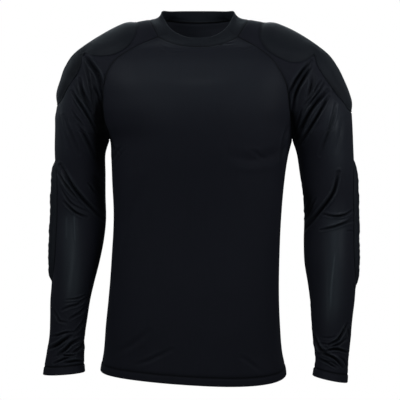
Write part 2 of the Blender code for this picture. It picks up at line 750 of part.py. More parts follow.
def build():
    """Makes every piece: the cloth as one skin first, then its walls, then the pads."""
    sleeves = (
        sleeve_table(SLEEVE_RINGS_LEFT, SLEEVE_ARCS_LEFT),
        sleeve_table(SLEEVE_RINGS_RIGHT, SLEEVE_ARCS_RIGHT),
    )
    left, right = sleeves
    grids = sleeve_grid(left), sleeve_grid(right)
    stretches = neckline(grids)
    front_edge, _, back_edge, _ = stretches
    pieces = [
        cloth_piece("front", body_grid(-1, sleeves, front_edge), "cloth"),
        cloth_piece("back", body_grid(1, sleeves, back_edge[::-1])[:, ::-1], "cloth"),
        cloth_piece("sleeve_left", grids[0][:, ::-1], "cloth", SLEEVE_RING_STEPS + 1),
        cloth_piece("sleeve_right", grids[1], "cloth", SLEEVE_RING_STEPS + 1),
        cloth_piece("collar", collar_grid(stretches), "collar", COLLAR_ROWS + 1),
    ]
    normals_of(pieces)
    for piece, rows in ((pieces[2], FOLDS_LEFT), (pieces[3], FOLDS_RIGHT)):
        depth = fold_depth(piece["points"], rows)[:, None]
        piece["points"] = piece["points"] - piece["normals"] * depth
    normals_of(pieces)
    hem_walls(pieces)
    for piece in pieces:
        add_mesh(piece["name"], *wall(piece), piece["finish"])
    for side, sleeve in (("left", (left, FOLDS_LEFT)), ("right", (right, FOLDS_RIGHT))):
        shoulder_pad("shoulder_pad_" + side, sleeve, side)
        elbow_pad("elbow_pad_" + side, sleeve, ELBOW_PAD_ENDS[side])


for old in list(bpy.data.objects):
    bpy.data.objects.remove(old)
COLLECTION = bpy.data.collections.new("padded_compression_shirt")
bpy.context.scene.collection.children.link(COLLECTION)
FINISHES = {
    "cloth": material("compression_knit", CLOTH_COLOUR, SMOOTH_KNIT),
    "pad": material("pad_cover", PAD_COLOUR, SMOOTH_KNIT),
    "collar": material("collar_knit", COLLAR_COLOUR, RIB_KNIT),
}
build()
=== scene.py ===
# %% [markdown]
# # A padded compression shirt
#
# The shirt is kept hollow, as if somebody wore it. Its knit cloth hugs the chest and arms, it is cut with raglan
# sleeves, and foam pads are sewn on at the shoulders and elbows. This lesson dresses the plain solids of that shirt:
# each panel becomes a thin shell with the creases that tension pulls into it, each seam a ribbon of stitches, and
# each pad a cushion with a sewn border. The solids are loaded first, because every new piece has to sit where they are.

import bpy
import numpy as np
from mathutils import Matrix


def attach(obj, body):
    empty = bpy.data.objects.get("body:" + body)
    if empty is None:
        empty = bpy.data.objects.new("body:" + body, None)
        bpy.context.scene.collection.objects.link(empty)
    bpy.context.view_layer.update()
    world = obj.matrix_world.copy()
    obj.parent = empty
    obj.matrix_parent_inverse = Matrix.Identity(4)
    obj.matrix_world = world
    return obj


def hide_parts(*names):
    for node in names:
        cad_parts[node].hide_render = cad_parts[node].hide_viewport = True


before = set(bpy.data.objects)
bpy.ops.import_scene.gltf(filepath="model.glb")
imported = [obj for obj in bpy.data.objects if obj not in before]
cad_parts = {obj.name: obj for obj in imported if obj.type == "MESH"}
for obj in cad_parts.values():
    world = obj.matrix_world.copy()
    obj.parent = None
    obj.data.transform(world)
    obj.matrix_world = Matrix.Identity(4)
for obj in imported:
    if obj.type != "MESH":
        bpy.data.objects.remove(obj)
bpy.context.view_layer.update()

# %% [markdown]
# ## The camera
#
# The photograph was taken straight from the front with a long lens, with the shirt filling almost the whole square
# frame. A camera could also be placed by hand in the view, but working out its lens from one real width and one
# distance keeps the scale exact: at the middle of the body the picture is 756 mm wide.

# %% Camera
MM = 0.001
TAU = 2 * np.pi
CAMERA_X, CAMERA_Z, CAMERA_AWAY = 3.8, -344.0, 3200.0
VIEW_WIDTH = 756.0
SENSOR = 36.0

camera = bpy.data.objects.new("camera", bpy.data.cameras.new("camera"))
camera.location = (CAMERA_X * MM, -CAMERA_AWAY * MM, CAMERA_Z * MM)
camera.rotation_euler = (np.pi / 2, 0, 0)
camera.data.sensor_width = SENSOR
camera.data.lens = SENSOR * CAMERA_AWAY / VIEW_WIDTH
bpy.context.scene.collection.objects.link(camera)
bpy.context.scene.camera = camera
print("lens", round(camera.data.lens, 1), "mm")

# %% [markdown]
# ## The cut
#
# A garment on a body is a set of tubes. Sections measured at a few heights, with smooth curves between them, give
# its form with very few numbers. Sculpting would give the same form, but nobody could read the sizes out of it
# afterwards. Everything below is in millimetres: x to the right as seen from the front, y away from the front,
# z up from the neck opening. Body sections are half widths to either side and half depths to front and back.

# %% Sections of the body
TORSO_COLUMNS = "z left right front back"
TORSO_ROWS = (
    (-705, 186, 168, 108, 105),
    (-665, 184, 166, 107, 104),
    (-630, 178, 159, 105, 102),
    (-580, 174, 155, 103, 99),
    (-520, 168, 153, 100, 94),
    (-450, 163, 154, 97, 88),
    (-380, 159, 157, 98, 87),
    (-310, 162, 163, 105, 94),
    (-262, 164, 170, 112, 100),
    (-229, 167, 178, 116, 104),
    (-203, 184, 182, 118, 106),
    (-178, 198, 190, 118, 107),
    (-152, 206, 196, 115, 107),
    (-128, 213, 199, 110, 106),
    (-104, 219, 200, 100, 103),
    (-81, 215, 195, 89, 99),
    (-61, 196, 178, 75, 93),
    (-39, 167, 160, 48, 84),
    (-18, 150, 148, 34, 74),
    (6, 130, 130, 30, 59),
)
HEM_LEFT, HEM_RIGHT = -661.0, -667.0
HEM_DROP = {-1: 19.0, 1: 15.0}
HEM_DROP_POWER, HEM_LEAN = 0.65, 4.0
SECTION_POWER = 2.2
print(len(TORSO_ROWS), "body sections")

# %% [markdown]
# A sleeve has closed rings from the cuff up to the armpit, where its inner point lies on the underarm seam, and
# from there open arcs up to the neck, where that point runs along the raglan seam. "deepest" says how far along
# the way from the inner to the outer point the section is deepest.

# %% Sections of the sleeves
# Rings and arcs hold the first four columns, and the depths, alike on both sides, hold the last three.
SLEEVE_COLUMNS = "inner_x inner_z outer_x outer_z mid_y half_depth deepest"
RINGS = {
    "left": (
        (-212, -665, -290, -670),
        (-213, -650, -288, -655),
        (-213, -627, -284, -631),
        (-212, -597, -279, -599),
        (-208, -567, -278, -567),
        (-203, -533, -278, -533),
        (-196, -501, -276, -501),
        (-186, -461, -275, -461),
        (-178, -420, -275, -420),
        (-174, -380, -273, -378),
        (-175, -336, -272, -334),
        (-175, -295, -270, -291),
        (-175, -257, -271, -249),
        (-167, -229, -270, -208),
    ),
    "right": (
        (215, -672, 280, -685),
        (217, -660, 281, -670),
        (220, -641, 282, -646),
        (216, -609, 286, -611),
        (213, -571, 290, -571),
        (211, -534, 295, -533),
        (207, -501, 298, -501),
        (201, -461, 298, -461),
        (200, -420, 298, -420),
        (201, -380, 298, -378),
        (199, -336, 297, -334),
        (193, -295, 296, -291),
        (187, -257, 294, -249),
        (178, -229, 292, -208),
    ),
}
ARCS = {
    "left": (
        (-168, -215, -270, -189),
        (-173, -202, -268, -176),
        (-176, -177, -265, -157),
        (-176, -151, -262, -138),
        (-174, -128, -256, -119),
        (-166, -104, -247, -94),
        (-150, -81, -227, -67),
        (-120, -61, -176, -33),
        (-96, -49, -132, -12),
        (-74, -39, -91, -3),
    ),
    "right": (
        (177, -215, 291, -189),
        (175, -202, 290, -176),
        (171, -177, 286, -157),
        (168, -151, 280, -138),
        (163, -128, 272, -119),
        (152, -104, 260, -95),
        (136, -81, 239, -68),
        (111, -61, 190, -34),
        (91, -49, 143, -13),
        (74, -39, 95, -3),
    ),
}
DEPTHS = (
    (-26, 40, 0.50),
    (-25, 37, 0.50),
    (-23, 34, 0.50),
    (-20, 34, 0.50),
    (-16, 36, 0.50),
    (-11, 40, 0.50),
    (-6, 44, 0.50),
    (-1, 48, 0.50),
    (4, 50, 0.50),
    (7, 51, 0.50),
    (8, 53, 0.50),
    (7, 56, 0.50),
    (4, 60, 0.49),
    (0, 64, 0.48),
    (1, 66, 0.46),
    (2, 68, 0.43),
    (3, 70, 0.36),
    (4, 71, 0.22),
    (4, 71, 0.00),
    (4, 71, -0.35),
    (4, 71, -1.00),
    (3, 66, -1.60),
    (1, 56, -1.60),
    (0, 44, -1.20),
)
SIDES = ("left", "right")
ARMPIT = len(RINGS["left"]) - 1
NECK = ARMPIT + len(ARCS["left"])
BACK_SEAM_RISE, BACK_SEAM_INSET = 42.0, 12.0
BACK_DEPTH_RATIO, DEEPEST_EXCESS = 0.95, 0.1
print("armpit at station", ARMPIT, "and neck at station", NECK)

# %% [markdown]
# ## Curves through the sections
#
# One smooth curve through rising knots serves every table: each stretch is a cubic that leaves a knot with the mean
# slope of its two neighbours. Blender's own curves could do this too, but arrays let a whole panel be worked out
# in one step.

# %% Curve helpers
SMALL = 1e-6


def columns(names, rows):
    """The columns of a table by name."""
    return dict(zip(names.split(), np.array(rows, float).T))


def unit(vectors):
    """The vectors at length one."""
    return vectors / np.maximum(np.linalg.norm(vectors, axis=-1, keepdims=True), SMALL)


def curve_through(knots, values, at):
    """Cubic in each stretch: start + end, each a value and a slope times its own blend of t, t^2 and t^3."""
    knots = np.asarray(knots, float)
    values = np.asarray(values, float)
    at = np.clip(at, knots[0], knots[-1])
    steps = np.diff(values, axis=0) / np.diff(knots).reshape((-1,) + (1,) * (values.ndim - 1))
    slopes = np.concatenate([steps[:1], (steps[1:] + steps[:-1]) / 2, steps[-1:]])
    low = np.clip(np.searchsorted(knots, at, side="right") - 1, 0, len(knots) - 2)
    span = knots[low + 1] - knots[low]
    t = (at - knots[low]) / span
    if values.ndim > 1:
        t = t[..., None]
        span = span[..., None]
    start = (1 + 2 * t) * (1 - t) ** 2 * values[low] + t * (1 - t) ** 2 * span * slopes[low]
    end = t**2 * (3 - 2 * t) * values[low + 1] + t**2 * (t - 1) * span * slopes[low + 1]
    return start + end


def evenly(curves, fractions):
    """Points at fractions of each curve's length: its running length, turned round by interpolation."""
    steps = np.linalg.norm(np.diff(curves, axis=1), axis=-1)
    length = np.concatenate([np.zeros((len(curves), 1)), np.cumsum(steps, axis=1)], axis=1)
    length /= length[:, -1:]
    found = np.empty((len(curves), len(fractions), 3))
    for row, (at, curve) in enumerate(zip(length, curves)):
        found[row] = np.stack([np.interp(fractions, at, curve[:, axis]) for axis in range(3)], -1)
    return found


print("curve at 0.5:", curve_through([0, 1, 2], [0, 1, 4], 0.5))

# %% [markdown]
# ## The body's surface
#
# The trunk of a fitted shirt is a rounded oblong in section, a little squarer than an ellipse. Its depth at any
# place follows from one formula, so front, back and both raglan seams all lie on the same surface.

# %% Body surface
TORSO = columns(TORSO_COLUMNS, TORSO_ROWS)


def torso_at(name, z):
    """One column of the body's sections at the heights z."""
    return curve_through(TORSO["z"], TORSO[name], z)


def torso_y(x, z, side):
    """y = side * depth * (1 - (|x| / half width)^p)^(1/p), with both sizes read from the sections at z."""
    half_depth = torso_at("front" if side < 0 else "back", z)
    across = np.clip(np.abs(x) / np.where(x < 0, torso_at("left", z), torso_at("right", z)), 0, 1)
    return side * half_depth * (1 - across**SECTION_POWER) ** (1 / SECTION_POWER)


def hem_height(side, across):
    """Straight from side seam to side seam, less a dip like a flattened half wave, plus a small lean."""
    ends = HEM_LEFT + (HEM_RIGHT - HEM_LEFT) * across
    middle = HEM_DROP[side] * np.sin(np.pi * across) ** HEM_DROP_POWER
    return ends - middle + HEM_LEAN * np.sin(2 * np.pi * across)


print("chest is deepest at y", float(torso_y(np.array(0.0), np.array(-203.0), -1)))

# %% [markdown]
# ## The sleeves' surface
#
# Each half of a sleeve's section is made of parts of two ellipses that meet at its deepest place. On the shoulder
# the deepest place would be inside the body, so a single part of one ellipse runs from the outer line to the seam.

# %% Sleeve surface
SLEEVES = {}
for side_name in SIDES:
    SLEEVES[side_name] = columns(SLEEVE_COLUMNS, np.hstack([RINGS[side_name] + ARCS[side_name], DEPTHS]))
    SLEEVES[side_name]["station"] = np.arange(NECK + 1.0)


def sleeve_values(table, station):
    """Every column of a sleeve at stations between its rows."""
    return {name: curve_through(table["station"], table[name], station) for name in SLEEVE_COLUMNS.split()}


def seam_point(table, station, side):
    """The raglan seam above the armpit, on the body's surface, and the underarm seam below it."""
    now = sleeve_values(table, station)
    climb = np.clip((station - ARMPIT) / (NECK - ARMPIT), 0, 1) ** 3
    x, z = now["inner_x"], now["inner_z"]
    if side > 0:
        x = x - np.sign(x) * BACK_SEAM_INSET * climb
        z = z + BACK_SEAM_RISE * climb
    opened = np.clip(station - ARMPIT, 0, 1)
    y = np.where(station > ARMPIT, torso_y(x, z, side), now["mid_y"] * (1 - opened))
    return np.stack([x, y, z], -1)


def section_parts(table, station, side):
    """What both forms of a half section need: seam, outer point, deepest place, depth and the seam's angle."""
    now = sleeve_values(table, station)
    seam = seam_point(table, station, side)
    outer = np.stack([now["outer_x"], now["mid_y"], now["outer_z"]], -1)
    way = (outer - seam) * (1, 0, 1)
    length = np.linalg.norm(way, axis=-1)
    at_seam = np.abs(seam[..., 1] - now["mid_y"])
    deepest = now["deepest"]
    inside = np.clip(-deepest, 0, None) / (1 + np.clip(-deepest, 0, None))
    last_inside = np.arccos(inside)
    widest = now["half_depth"] * (1 if side < 0 else BACK_DEPTH_RATIO)
    widest = np.maximum(widest, at_seam * (1 + DEEPEST_EXCESS * np.clip(deepest, 0, 1)) + SMALL)
    depth = np.where(deepest > 0, widest, at_seam / np.sin(last_inside))
    narrowing = np.sqrt(np.clip(1 - (at_seam / depth) ** 2, SMALL, 1))
    last = np.where(deepest > 0, np.pi / 2 + np.arcsin(narrowing), last_inside)
    inner_reach = np.clip(deepest, 0, 1) * length / narrowing
    return seam, unit(way), length, deepest, inner_reach, depth, last, now["mid_y"]


def half_section(table, station, side, turn):
    """Along the way: deepest + reach * cos(angle). Away from it: depth * sin(angle), for turn * last angle."""
    seam, way, length, deepest, inner_reach, depth, last, mid_y = section_parts(table, station, side)
    angle = turn * last
    reach = np.where(angle < np.pi / 2, (1 - deepest) * length, inner_reach)
    points = seam + way * (deepest * length + reach * np.cos(angle))[..., None]
    points[..., 1] = mid_y + side * depth * np.sin(angle)
    return points


def on_sleeve(table, station, place):
    """The point at a place: -1 on the front seam, 0 on the outer line, 1 on the back seam, by the share of the
    way squared. The angle follows from the cosine of what is left of the way."""
    found = []
    for side in (-1, 1):
        seam, way, length, deepest, inner_reach, depth, last, mid_y = section_parts(table, station, side)
        along = (1 - np.minimum(place**2, 1)) * length - deepest * length
        reach = np.where(along > 0, (1 - deepest) * length, np.maximum(inner_reach, SMALL))
        angle = np.arccos(np.clip(along / reach, -1, 1))
        points = seam + way * (along + deepest * length)[..., None]
        points[..., 1] = mid_y + side * depth * np.sin(angle)
        found.append(points)
    return np.where(place[..., None] < 0, found[0], found[1])


print("left cuff's inner point", seam_point(SLEEVES["left"], np.array(0.0), -1))

# %% [markdown]
# ## Grids of points
#
# Each panel is a grid: rows run round the body or the arm, and columns run along it. Fine grids are needed, because
# a crease is only a few millimetres wide. A coarse grid with a Subdivision modifier would round the creases away.

# %% Panel grids
BODY_ACROSS, BODY_LOWER, BODY_UPPER = 150, 150, 120
SLEEVE_RINGS, SLEEVE_FRONT, SLEEVE_BACK = 330, 112, 80
SAG_POWER, SPREAD_POWER, TOP_POWER, ARMPIT_POWER = 2.5, 1.5, 6, 8
NECKLINE = {-1: ((0, -60), (38, -56)), 1: ((0, -2), (34, 0))}
NECKLINE_LEAD, NECKLINE_STEPS = 0.25, 600
TURNS = np.linspace(0, 1, 160)[None]
ARC_STATIONS = np.linspace(ARMPIT, NECK, BODY_UPPER + 1)
SLEEVE_STATIONS = np.concatenate([np.linspace(0, ARMPIT, SLEEVE_RINGS + 1), ARC_STATIONS[1:]])
ROUND_SHARES = np.concatenate([np.linspace(0, 0.5, SLEEVE_FRONT + 1), np.linspace(0.5, 1, SLEEVE_BACK + 1)[1:]])


def sleeve_grid(table):
    """Rows from cuff to neck, each from the front seam over the outer line to the back seam, finer in front."""
    stations = SLEEVE_STATIONS[:, None] + 0 * TURNS
    front = half_section(table, stations, -1, TURNS)
    back = half_section(table, stations, 1, TURNS)
    whole = np.concatenate([front[:, ::-1], back[:, 1:]], axis=1)
    return evenly(whole, ROUND_SHARES)


def neckline_stretch(side, left_top, right_top):
    """A smooth curve through three low points of the neckline that sets out in line with both sleeves' tops."""
    middle = [np.array([x, float(torso_y(np.array(float(x)), np.array(float(z)), side)), z]) for x, z in NECKLINE[side]]
    one, other = (left_top, right_top) if side < 0 else (left_top[::-1], right_top[::-1])
    shares = ROUND_SHARES if side < 0 else 1 - ROUND_SHARES[::-1]
    lead = int(np.searchsorted(shares, NECKLINE_LEAD))
    mirrored = middle[1] * (-1, 1, 1)
    through = np.array([one[lead], one[0], mirrored, middle[0], middle[1], other[0], other[lead]])
    fine = curve_through(np.arange(7.0), through, np.linspace(1, 5, NECKLINE_STEPS))
    return evenly(fine[None], np.linspace(0, 1, BODY_ACROSS + 1))[0]


def upper_body(side, top_edge):
    """Rows between the raglan seams: a straight way across, a sag that grows upwards, all on the body's surface."""
    across = np.linspace(0, 1, BODY_ACROSS + 1)
    climb = ((ARC_STATIONS - ARMPIT) / (NECK - ARMPIT))[:, None]
    seams = [seam_point(SLEEVES[name], ARC_STATIONS, side) for name in SIDES]
    blend = climb**SPREAD_POWER
    share = (1 - np.cos(np.pi * across)) / 2 * (1 - blend) + across * blend
    x = seams[0][:, :1] + (seams[1][:, :1] - seams[0][:, :1]) * share
    z = seams[0][:, 2:] + (seams[1][:, 2:] - seams[0][:, 2:]) * share
    sag = NECKLINE[side][0][1] - seams[0][-1, 2]
    z = z + sag * climb**SAG_POWER * np.sin(np.pi * across)
    grid = np.stack([x, torso_y(x, z, side), z], -1)
    grid[:, 0], grid[:, -1] = seams
    return grid + climb[..., None] ** TOP_POWER * (top_edge - grid[-1])


def lower_body(side, armpit_row):
    """Rows from hem to armpit: x = -cos(pi * across) times the half width, drawn to the armpit row at the top."""
    across = np.linspace(0, 1, BODY_ACROSS + 1)
    rise = np.linspace(0, 1, BODY_LOWER + 1)[:-1, None]
    hem = hem_height(side, across)
    z = hem + (armpit_row[:, 2] - hem) * rise
    row = armpit_row[:, 0]
    turned = -np.cos(np.pi * across) + 0 * rise
    turned = turned + rise**ARMPIT_POWER * (np.where(row < 0, row / -row[0], row / row[-1]) - turned)
    x = turned * np.where(turned < 0, torso_at("left", z), torso_at("right", z))
    grid = np.stack([x, torso_y(x, z, side), z], -1)
    grid[:, [0, -1], 1] = 0
    return grid


sleeves = {name: sleeve_grid(SLEEVES[name]) for name in SIDES}
tops = [sleeves[name][-1] for name in SIDES]
body = {}
for side in (-1, 1):
    upper = upper_body(side, neckline_stretch(side, *tops))
    body[side] = np.concatenate([lower_body(side, upper[0]), upper])
print("body grid", body[-1].shape, "sleeve grid", sleeves["left"].shape)

# %% [markdown]
# ## The collar
#
# The collar is a folded band of the same knit, sewn to the neckline and standing up to a slightly smaller opening.
# Its lower edge is the neckline itself, so it is lofted from there to the opening, point by point by direction.

# %% Collar grid
# Columns: x y z, over half of the opening from the front to the back.
OPENING_ROWS = (
    (0, -62, -43),
    (26, -57, -40),
    (49, -42, -27),
    (61, -22, -10),
    (69, 4, 12),
    (52, 44, 17),
    (0, 60, 19),
)
COLLAR_ROWS, OPENING_STEPS = 14, 2000
COLLAR_HOLLOW, COLLAR_DIP = 4.5, 0.6


def directions(line, middle):
    """The angle of each point of a line round the middle, from the front, without a jump."""
    return np.unwrap(np.arctan2(line[:, 0] - middle[0], middle[1] - line[:, 1]))


def collar_grid():
    """Lower edge + (opening - lower edge) * rise, less a hollow of sin(pi * rise) at the sides of the neck."""
    left_top, right_top = tops
    stretches = (body[-1][-1], right_top, body[1][-1][::-1], left_top[::-1])
    lower = np.concatenate([stretch[:-1] for stretch in stretches])
    lower = np.concatenate([lower, lower[:1]])
    half = np.array(OPENING_ROWS, float)
    mirrored = half[-2:0:-1] * (-1, 1, 1)
    loop = np.concatenate([mirrored[-2:], half, mirrored, half[:3]])
    fine = curve_through(np.arange(-2.0, len(loop) - 2), loop, np.linspace(0, len(half) * 2 - 2, OPENING_STEPS))
    middle = lower[:-1].mean(axis=0)
    fine_angle = directions(fine, middle)
    angle = (directions(lower, middle) - fine_angle[0]) % TAU + fine_angle[0]
    upper = np.stack([np.interp(angle, fine_angle, fine[:, axis]) for axis in range(3)], -1)
    rise = np.linspace(0, 1, COLLAR_ROWS + 1)[:, None, None]
    outwards = unit((lower - middle) * (1, 1, 0))
    hollow = COLLAR_HOLLOW * outwards[:, :1] ** 2 * (outwards + (0, 0, COLLAR_DIP))
    return lower + (upper - lower) * rise - hollow * np.sin(np.pi * rise)


collar = collar_grid()
print("collar grid", collar.shape)

# %% [markdown]
# ## Which way is out
#
# A wall, a crease and a seam all need to know which way the surface faces. The cross product of a grid's two
# directions gives that, turned so that it points away from the middle of its tube. Where a sleeve is closed under
# the arm its first and last columns are one line, so they share their mean.


# %% Surface normals
def normals_of(grid, axis_points, closed_rows=0):
    """Row direction x column direction at length one, with the sign that points away from the tube's axis."""
    down = np.gradient(grid, axis=0)
    round_it = np.gradient(grid, axis=1)
    if closed_rows:
        both = grid[:closed_rows, 1] - grid[:closed_rows, -2]
        round_it[:closed_rows, 0] = both
        round_it[:closed_rows, -1] = both
    found = unit(np.cross(down, round_it))
    outwards = (found * (grid - axis_points)).sum(axis=-1)
    return found * np.sign(np.median(outwards))


def smooth_steps(low, high, value):
    """0 below low, 1 above high, and 3t^2 - 2t^3 between them."""
    t = np.clip((value - low) / (high - low), 0, 1)
    return t * t * (3 - 2 * t)


def trunk_axis(grid):
    """The middle of the trunk at the height of each point."""
    return grid * (0, 0, 1)


def arm_axis(grid):
    """The middle of each row of a sleeve."""
    return (grid[:, :1] + grid[:, SLEEVE_FRONT][:, None]) / 2


normals = {side: normals_of(body[side], trunk_axis(body[side])) for side in body}
for name in SIDES:
    normals[name] = normals_of(sleeves[name], arm_axis(sleeves[name]), SLEEVE_RINGS + 1)
normals["collar"] = normals_of(collar, collar.mean(axis=1, keepdims=True), COLLAR_ROWS + 1)
print("front faces", normals[-1][100, 75].round(2), "left sleeve faces", normals["left"][80, 72].round(2))

# %% [markdown]
# ## Creases
#
# Compression knit is nearly smooth where it is stretched over the body, and creases sharply where a pad or a bend
# holds it back: in a fan from each shoulder pad to the armpit, across the inside of each elbow, and round each
# wrist. Cloth simulation would make some creases, but not these ones, so each is laid as a soft trough
# between two low banks. A row of the table is a curve through four places as seen from the front, then the
# trough's half width and its depth. Three rows are low ridges instead, the thin tension lines along the forearms.
# The hidden side of each sleeve has the same kind of creases, mirrored from the other sleeve, shallower and shifted.

# %% Crease tables
# Columns: x0 z0 x1 z1 x2 z2 x3 z3 width depth, in millimetres. A depth below zero is a low ridge.
CREASES = {
    "left": (
        (-215, -69, -202, -87, -188, -108, -180, -140, 3.4, 4.0),
        (-217, -77, -210, -100, -202, -136, -197, -172, 1.9, 1.4),
        (-200, -125, -193, -136, -188, -147, -183, -163, 2.1, 1.7),
        (-224, -115, -220, -134, -212, -153, -200, -176, 2.8, 3.0),
        (-231, -119, -224, -138, -215, -154, -200, -178, 1.7, 1.4),
        (-235, -123, -225, -144, -212, -163, -191, -193, 1.8, 1.5),
        (-239, -138, -229, -153, -214, -176, -193, -212, 2.2, 2.2),
        (-212, -178, -206, -189, -200, -200, -191, -219, 1.9, 1.4),
        (-238, -176, -231, -187, -223, -197, -212, -214, 1.8, 1.0),
        (-238, -147, -234, -159, -229, -168, -221, -180, 1.8, 0.8),
        (-225, -204, -215, -221, -204, -242, -191, -268, 3.0, 2.0),
        (-254, -185, -247, -208, -236, -231, -225, -257, 3.0, 1.3),
        (-263, -174, -259, -197, -253, -217, -248, -240, 3.6, 0.8),
        (-208, -79, -198, -94, -191, -112, -185, -132, 1.8, 1.0),
        (-260, -278, -242, -310, -219, -341, -178, -382, 2.6, 3.8),
        (-266, -289, -253, -311, -242, -327, -228, -341, 2.0, 2.2),
        (-261, -316, -251, -336, -236, -353, -208, -366, 1.7, 1.3),
        (-254, -347, -242, -359, -229, -369, -210, -377, 2.0, 2.2),
        (-249, -310, -242, -321, -235, -331, -231, -336, 1.7, 1.2),
        (-208, -312, -202, -319, -197, -327, -189, -335, 1.8, 1.3),
        (-195, -299, -189, -306, -183, -314, -180, -319, 2.2, 1.0),
        (-249, -533, -236, -532, -223, -529, -204, -520, 1.8, 0.9),
        (-257, -552, -240, -545, -225, -540, -206, -525, 2.2, 1.4),
        (-251, -539, -240, -538, -227, -536, -212, -531, 1.6, 0.6),
        (-274, -550, -266, -566, -261, -573, -249, -576, 2.0, 1.2),
        (-242, -569, -231, -562, -221, -556, -212, -546, 2.2, 1.4),
        (-234, -595, -225, -586, -217, -576, -212, -565, 2.2, 1.2),
        (-276, -602, -263, -599, -251, -595, -236, -594, 1.8, 1.4),
        (-281, -625, -266, -618, -255, -610, -240, -601, 2.6, 3.0),
        (-265, -637, -251, -627, -239, -615, -223, -607, 2.4, 2.6),
        (-259, -637, -249, -638, -242, -638, -232, -637, 1.6, 1.6),
        (-272, -653, -261, -648, -249, -643, -234, -640, 1.8, 1.5),
        (-251, -652, -240, -650, -229, -648, -215, -649, 2.0, 1.8),
        (-236, -633, -229, -628, -221, -622, -215, -609, 2.2, 1.6),
        (-272, -641, -261, -637, -249, -633, -240, -629, 1.7, 0.7),
        (-248, -370, -249, -389, -249, -406, -250, -423, 1.8, -0.25),
        (-234, -369, -234, -389, -233, -408, -231, -429, 1.8, -0.3),
    ),
    "right": (
        (215, -79, 199, -98, 185, -118, 171, -146, 2.6, 3.2),
        (215, -88, 200, -113, 185, -142, 178, -181, 2.6, 3.2),
        (210, -98, 198, -115, 189, -132, 183, -153, 1.7, 1.1),
        (216, -112, 215, -125, 212, -136, 207, -151, 3.0, 2.4),
        (232, -117, 223, -132, 215, -147, 199, -166, 1.8, 1.4),
        (240, -119, 229, -138, 217, -154, 201, -180, 1.9, 1.6),
        (246, -136, 225, -158, 208, -183, 189, -225, 3.0, 3.8),
        (247, -146, 232, -174, 215, -203, 194, -238, 2.5, 3.2),
        (223, -106, 221, -121, 217, -136, 210, -153, 1.7, 1.0),
        (261, -163, 253, -195, 242, -227, 230, -259, 2.8, 1.7),
        (272, -193, 270, -212, 266, -232, 261, -253, 3.6, 0.7),
        (197, -170, 193, -185, 189, -200, 185, -217, 1.9, 1.2),
        (266, -291, 256, -329, 234, -361, 199, -403, 2.7, 3.8),
        (293, -363, 278, -372, 259, -375, 236, -371, 1.9, 2.0),
        (293, -383, 276, -388, 257, -395, 232, -401, 2.0, 2.2),
        (293, -378, 288, -380, 284, -383, 280, -386, 1.7, 1.0),
        (223, -340, 217, -352, 212, -365, 204, -380, 1.9, 1.4),
        (214, -342, 210, -352, 206, -363, 202, -372, 1.9, 1.2),
        (282, -402, 286, -403, 291, -403, 295, -404, 1.7, 0.7),
        (234, -604, 244, -605, 251, -605, 259, -603, 2.0, 0.6),
        (227, -615, 236, -616, 246, -617, 253, -617, 1.8, 0.7),
        (216, -595, 224, -614, 232, -627, 246, -635, 2.6, 2.8),
        (247, -618, 263, -609, 272, -597, 283, -578, 2.0, 2.4),
        (249, -622, 263, -618, 272, -613, 282, -605, 1.8, 1.4),
        (244, -629, 257, -626, 270, -628, 284, -633, 2.0, 2.4),
        (228, -633, 244, -637, 260, -645, 274, -661, 2.0, 2.4),
        (227, -643, 238, -648, 249, -654, 261, -661, 1.8, 1.6),
        (240, -647, 249, -650, 257, -653, 266, -660, 1.6, 1.0),
        (268, -640, 275, -646, 279, -653, 282, -662, 1.8, 1.2),
        (280, -584, 284, -592, 285, -599, 285, -609, 1.8, 1.0),
        (293, -503, 297, -512, 299, -520, 298, -529, 1.9, 1.2),
        (260, -433, 256, -472, 252, -514, 249, -556, 1.8, -0.35),
    ),
    "body": (
        (-161, -242, -154, -248, -148, -253, -144, -261, 1.8, 0.8),
        (-163, -234, -159, -244, -157, -253, -155, -263, 1.9, 0.9),
        (168, -234, 164, -244, 162, -251, 161, -259, 1.8, 0.9),
        (-110, -321, -127, -372, -144, -429, -159, -499, 13.0, 1.5),
        (28, -46, 42, -49, 57, -49, 72, -46, 1.3, 0.5),
        (76, -57, 87, -59, 98, -57, 110, -53, 1.3, 0.5),
        (-72, -53, -57, -60, -42, -62, -26, -62, 2.4, 0.6),
        (64, -261, 98, -268, 132, -263, 163, -246, 9.0, 1.0),
        (-163, -268, -157, -259, -151, -249, -144, -242, 2.2, 1.0),
        (-157, -280, -151, -266, -144, -255, -136, -248, 2.0, 0.7),
        (170, -204, 163, -227, 159, -253, 157, -287, 2.6, 1.3),
        (98, -249, 110, -255, 117, -261, 129, -268, 3.0, 0.8),
        (-113, -654, -94, -648, -76, -639, -49, -626, 3.2, 1.2),
        (-151, -631, -132, -622, -113, -609, -94, -592, 5.0, 0.9),
        (121, -669, 106, -658, 93, -648, 79, -641, 3.5, 0.8),
    ),
}
BACK_DEPTH, BACK_WIDTH, BACK_SHIFT, BACK_ROWS = 0.7, 1.1, (3.0, -9.0), 4
BANK, BANK_AWAY, BANK_WIDTH, BANK_REACH = 0.40, 2.3, 0.9, 5.5
CREASE_NARROW, CREASE_DEEP, CREASE_SHARP = 0.85, 2.1, 1.5
CREASE_STEPS, CREASE_ENDS, CREASE_FADE = 48, 0.04, 0.6
PAINTED_SHADE_NARROW, FOLD_FROM, FOLD_STEEP = 1.15, 0.28, 0.7
CREASE_TURN = -0.1, 0.35
print({name: len(rows) for name, rows in CREASES.items()}, "creases")
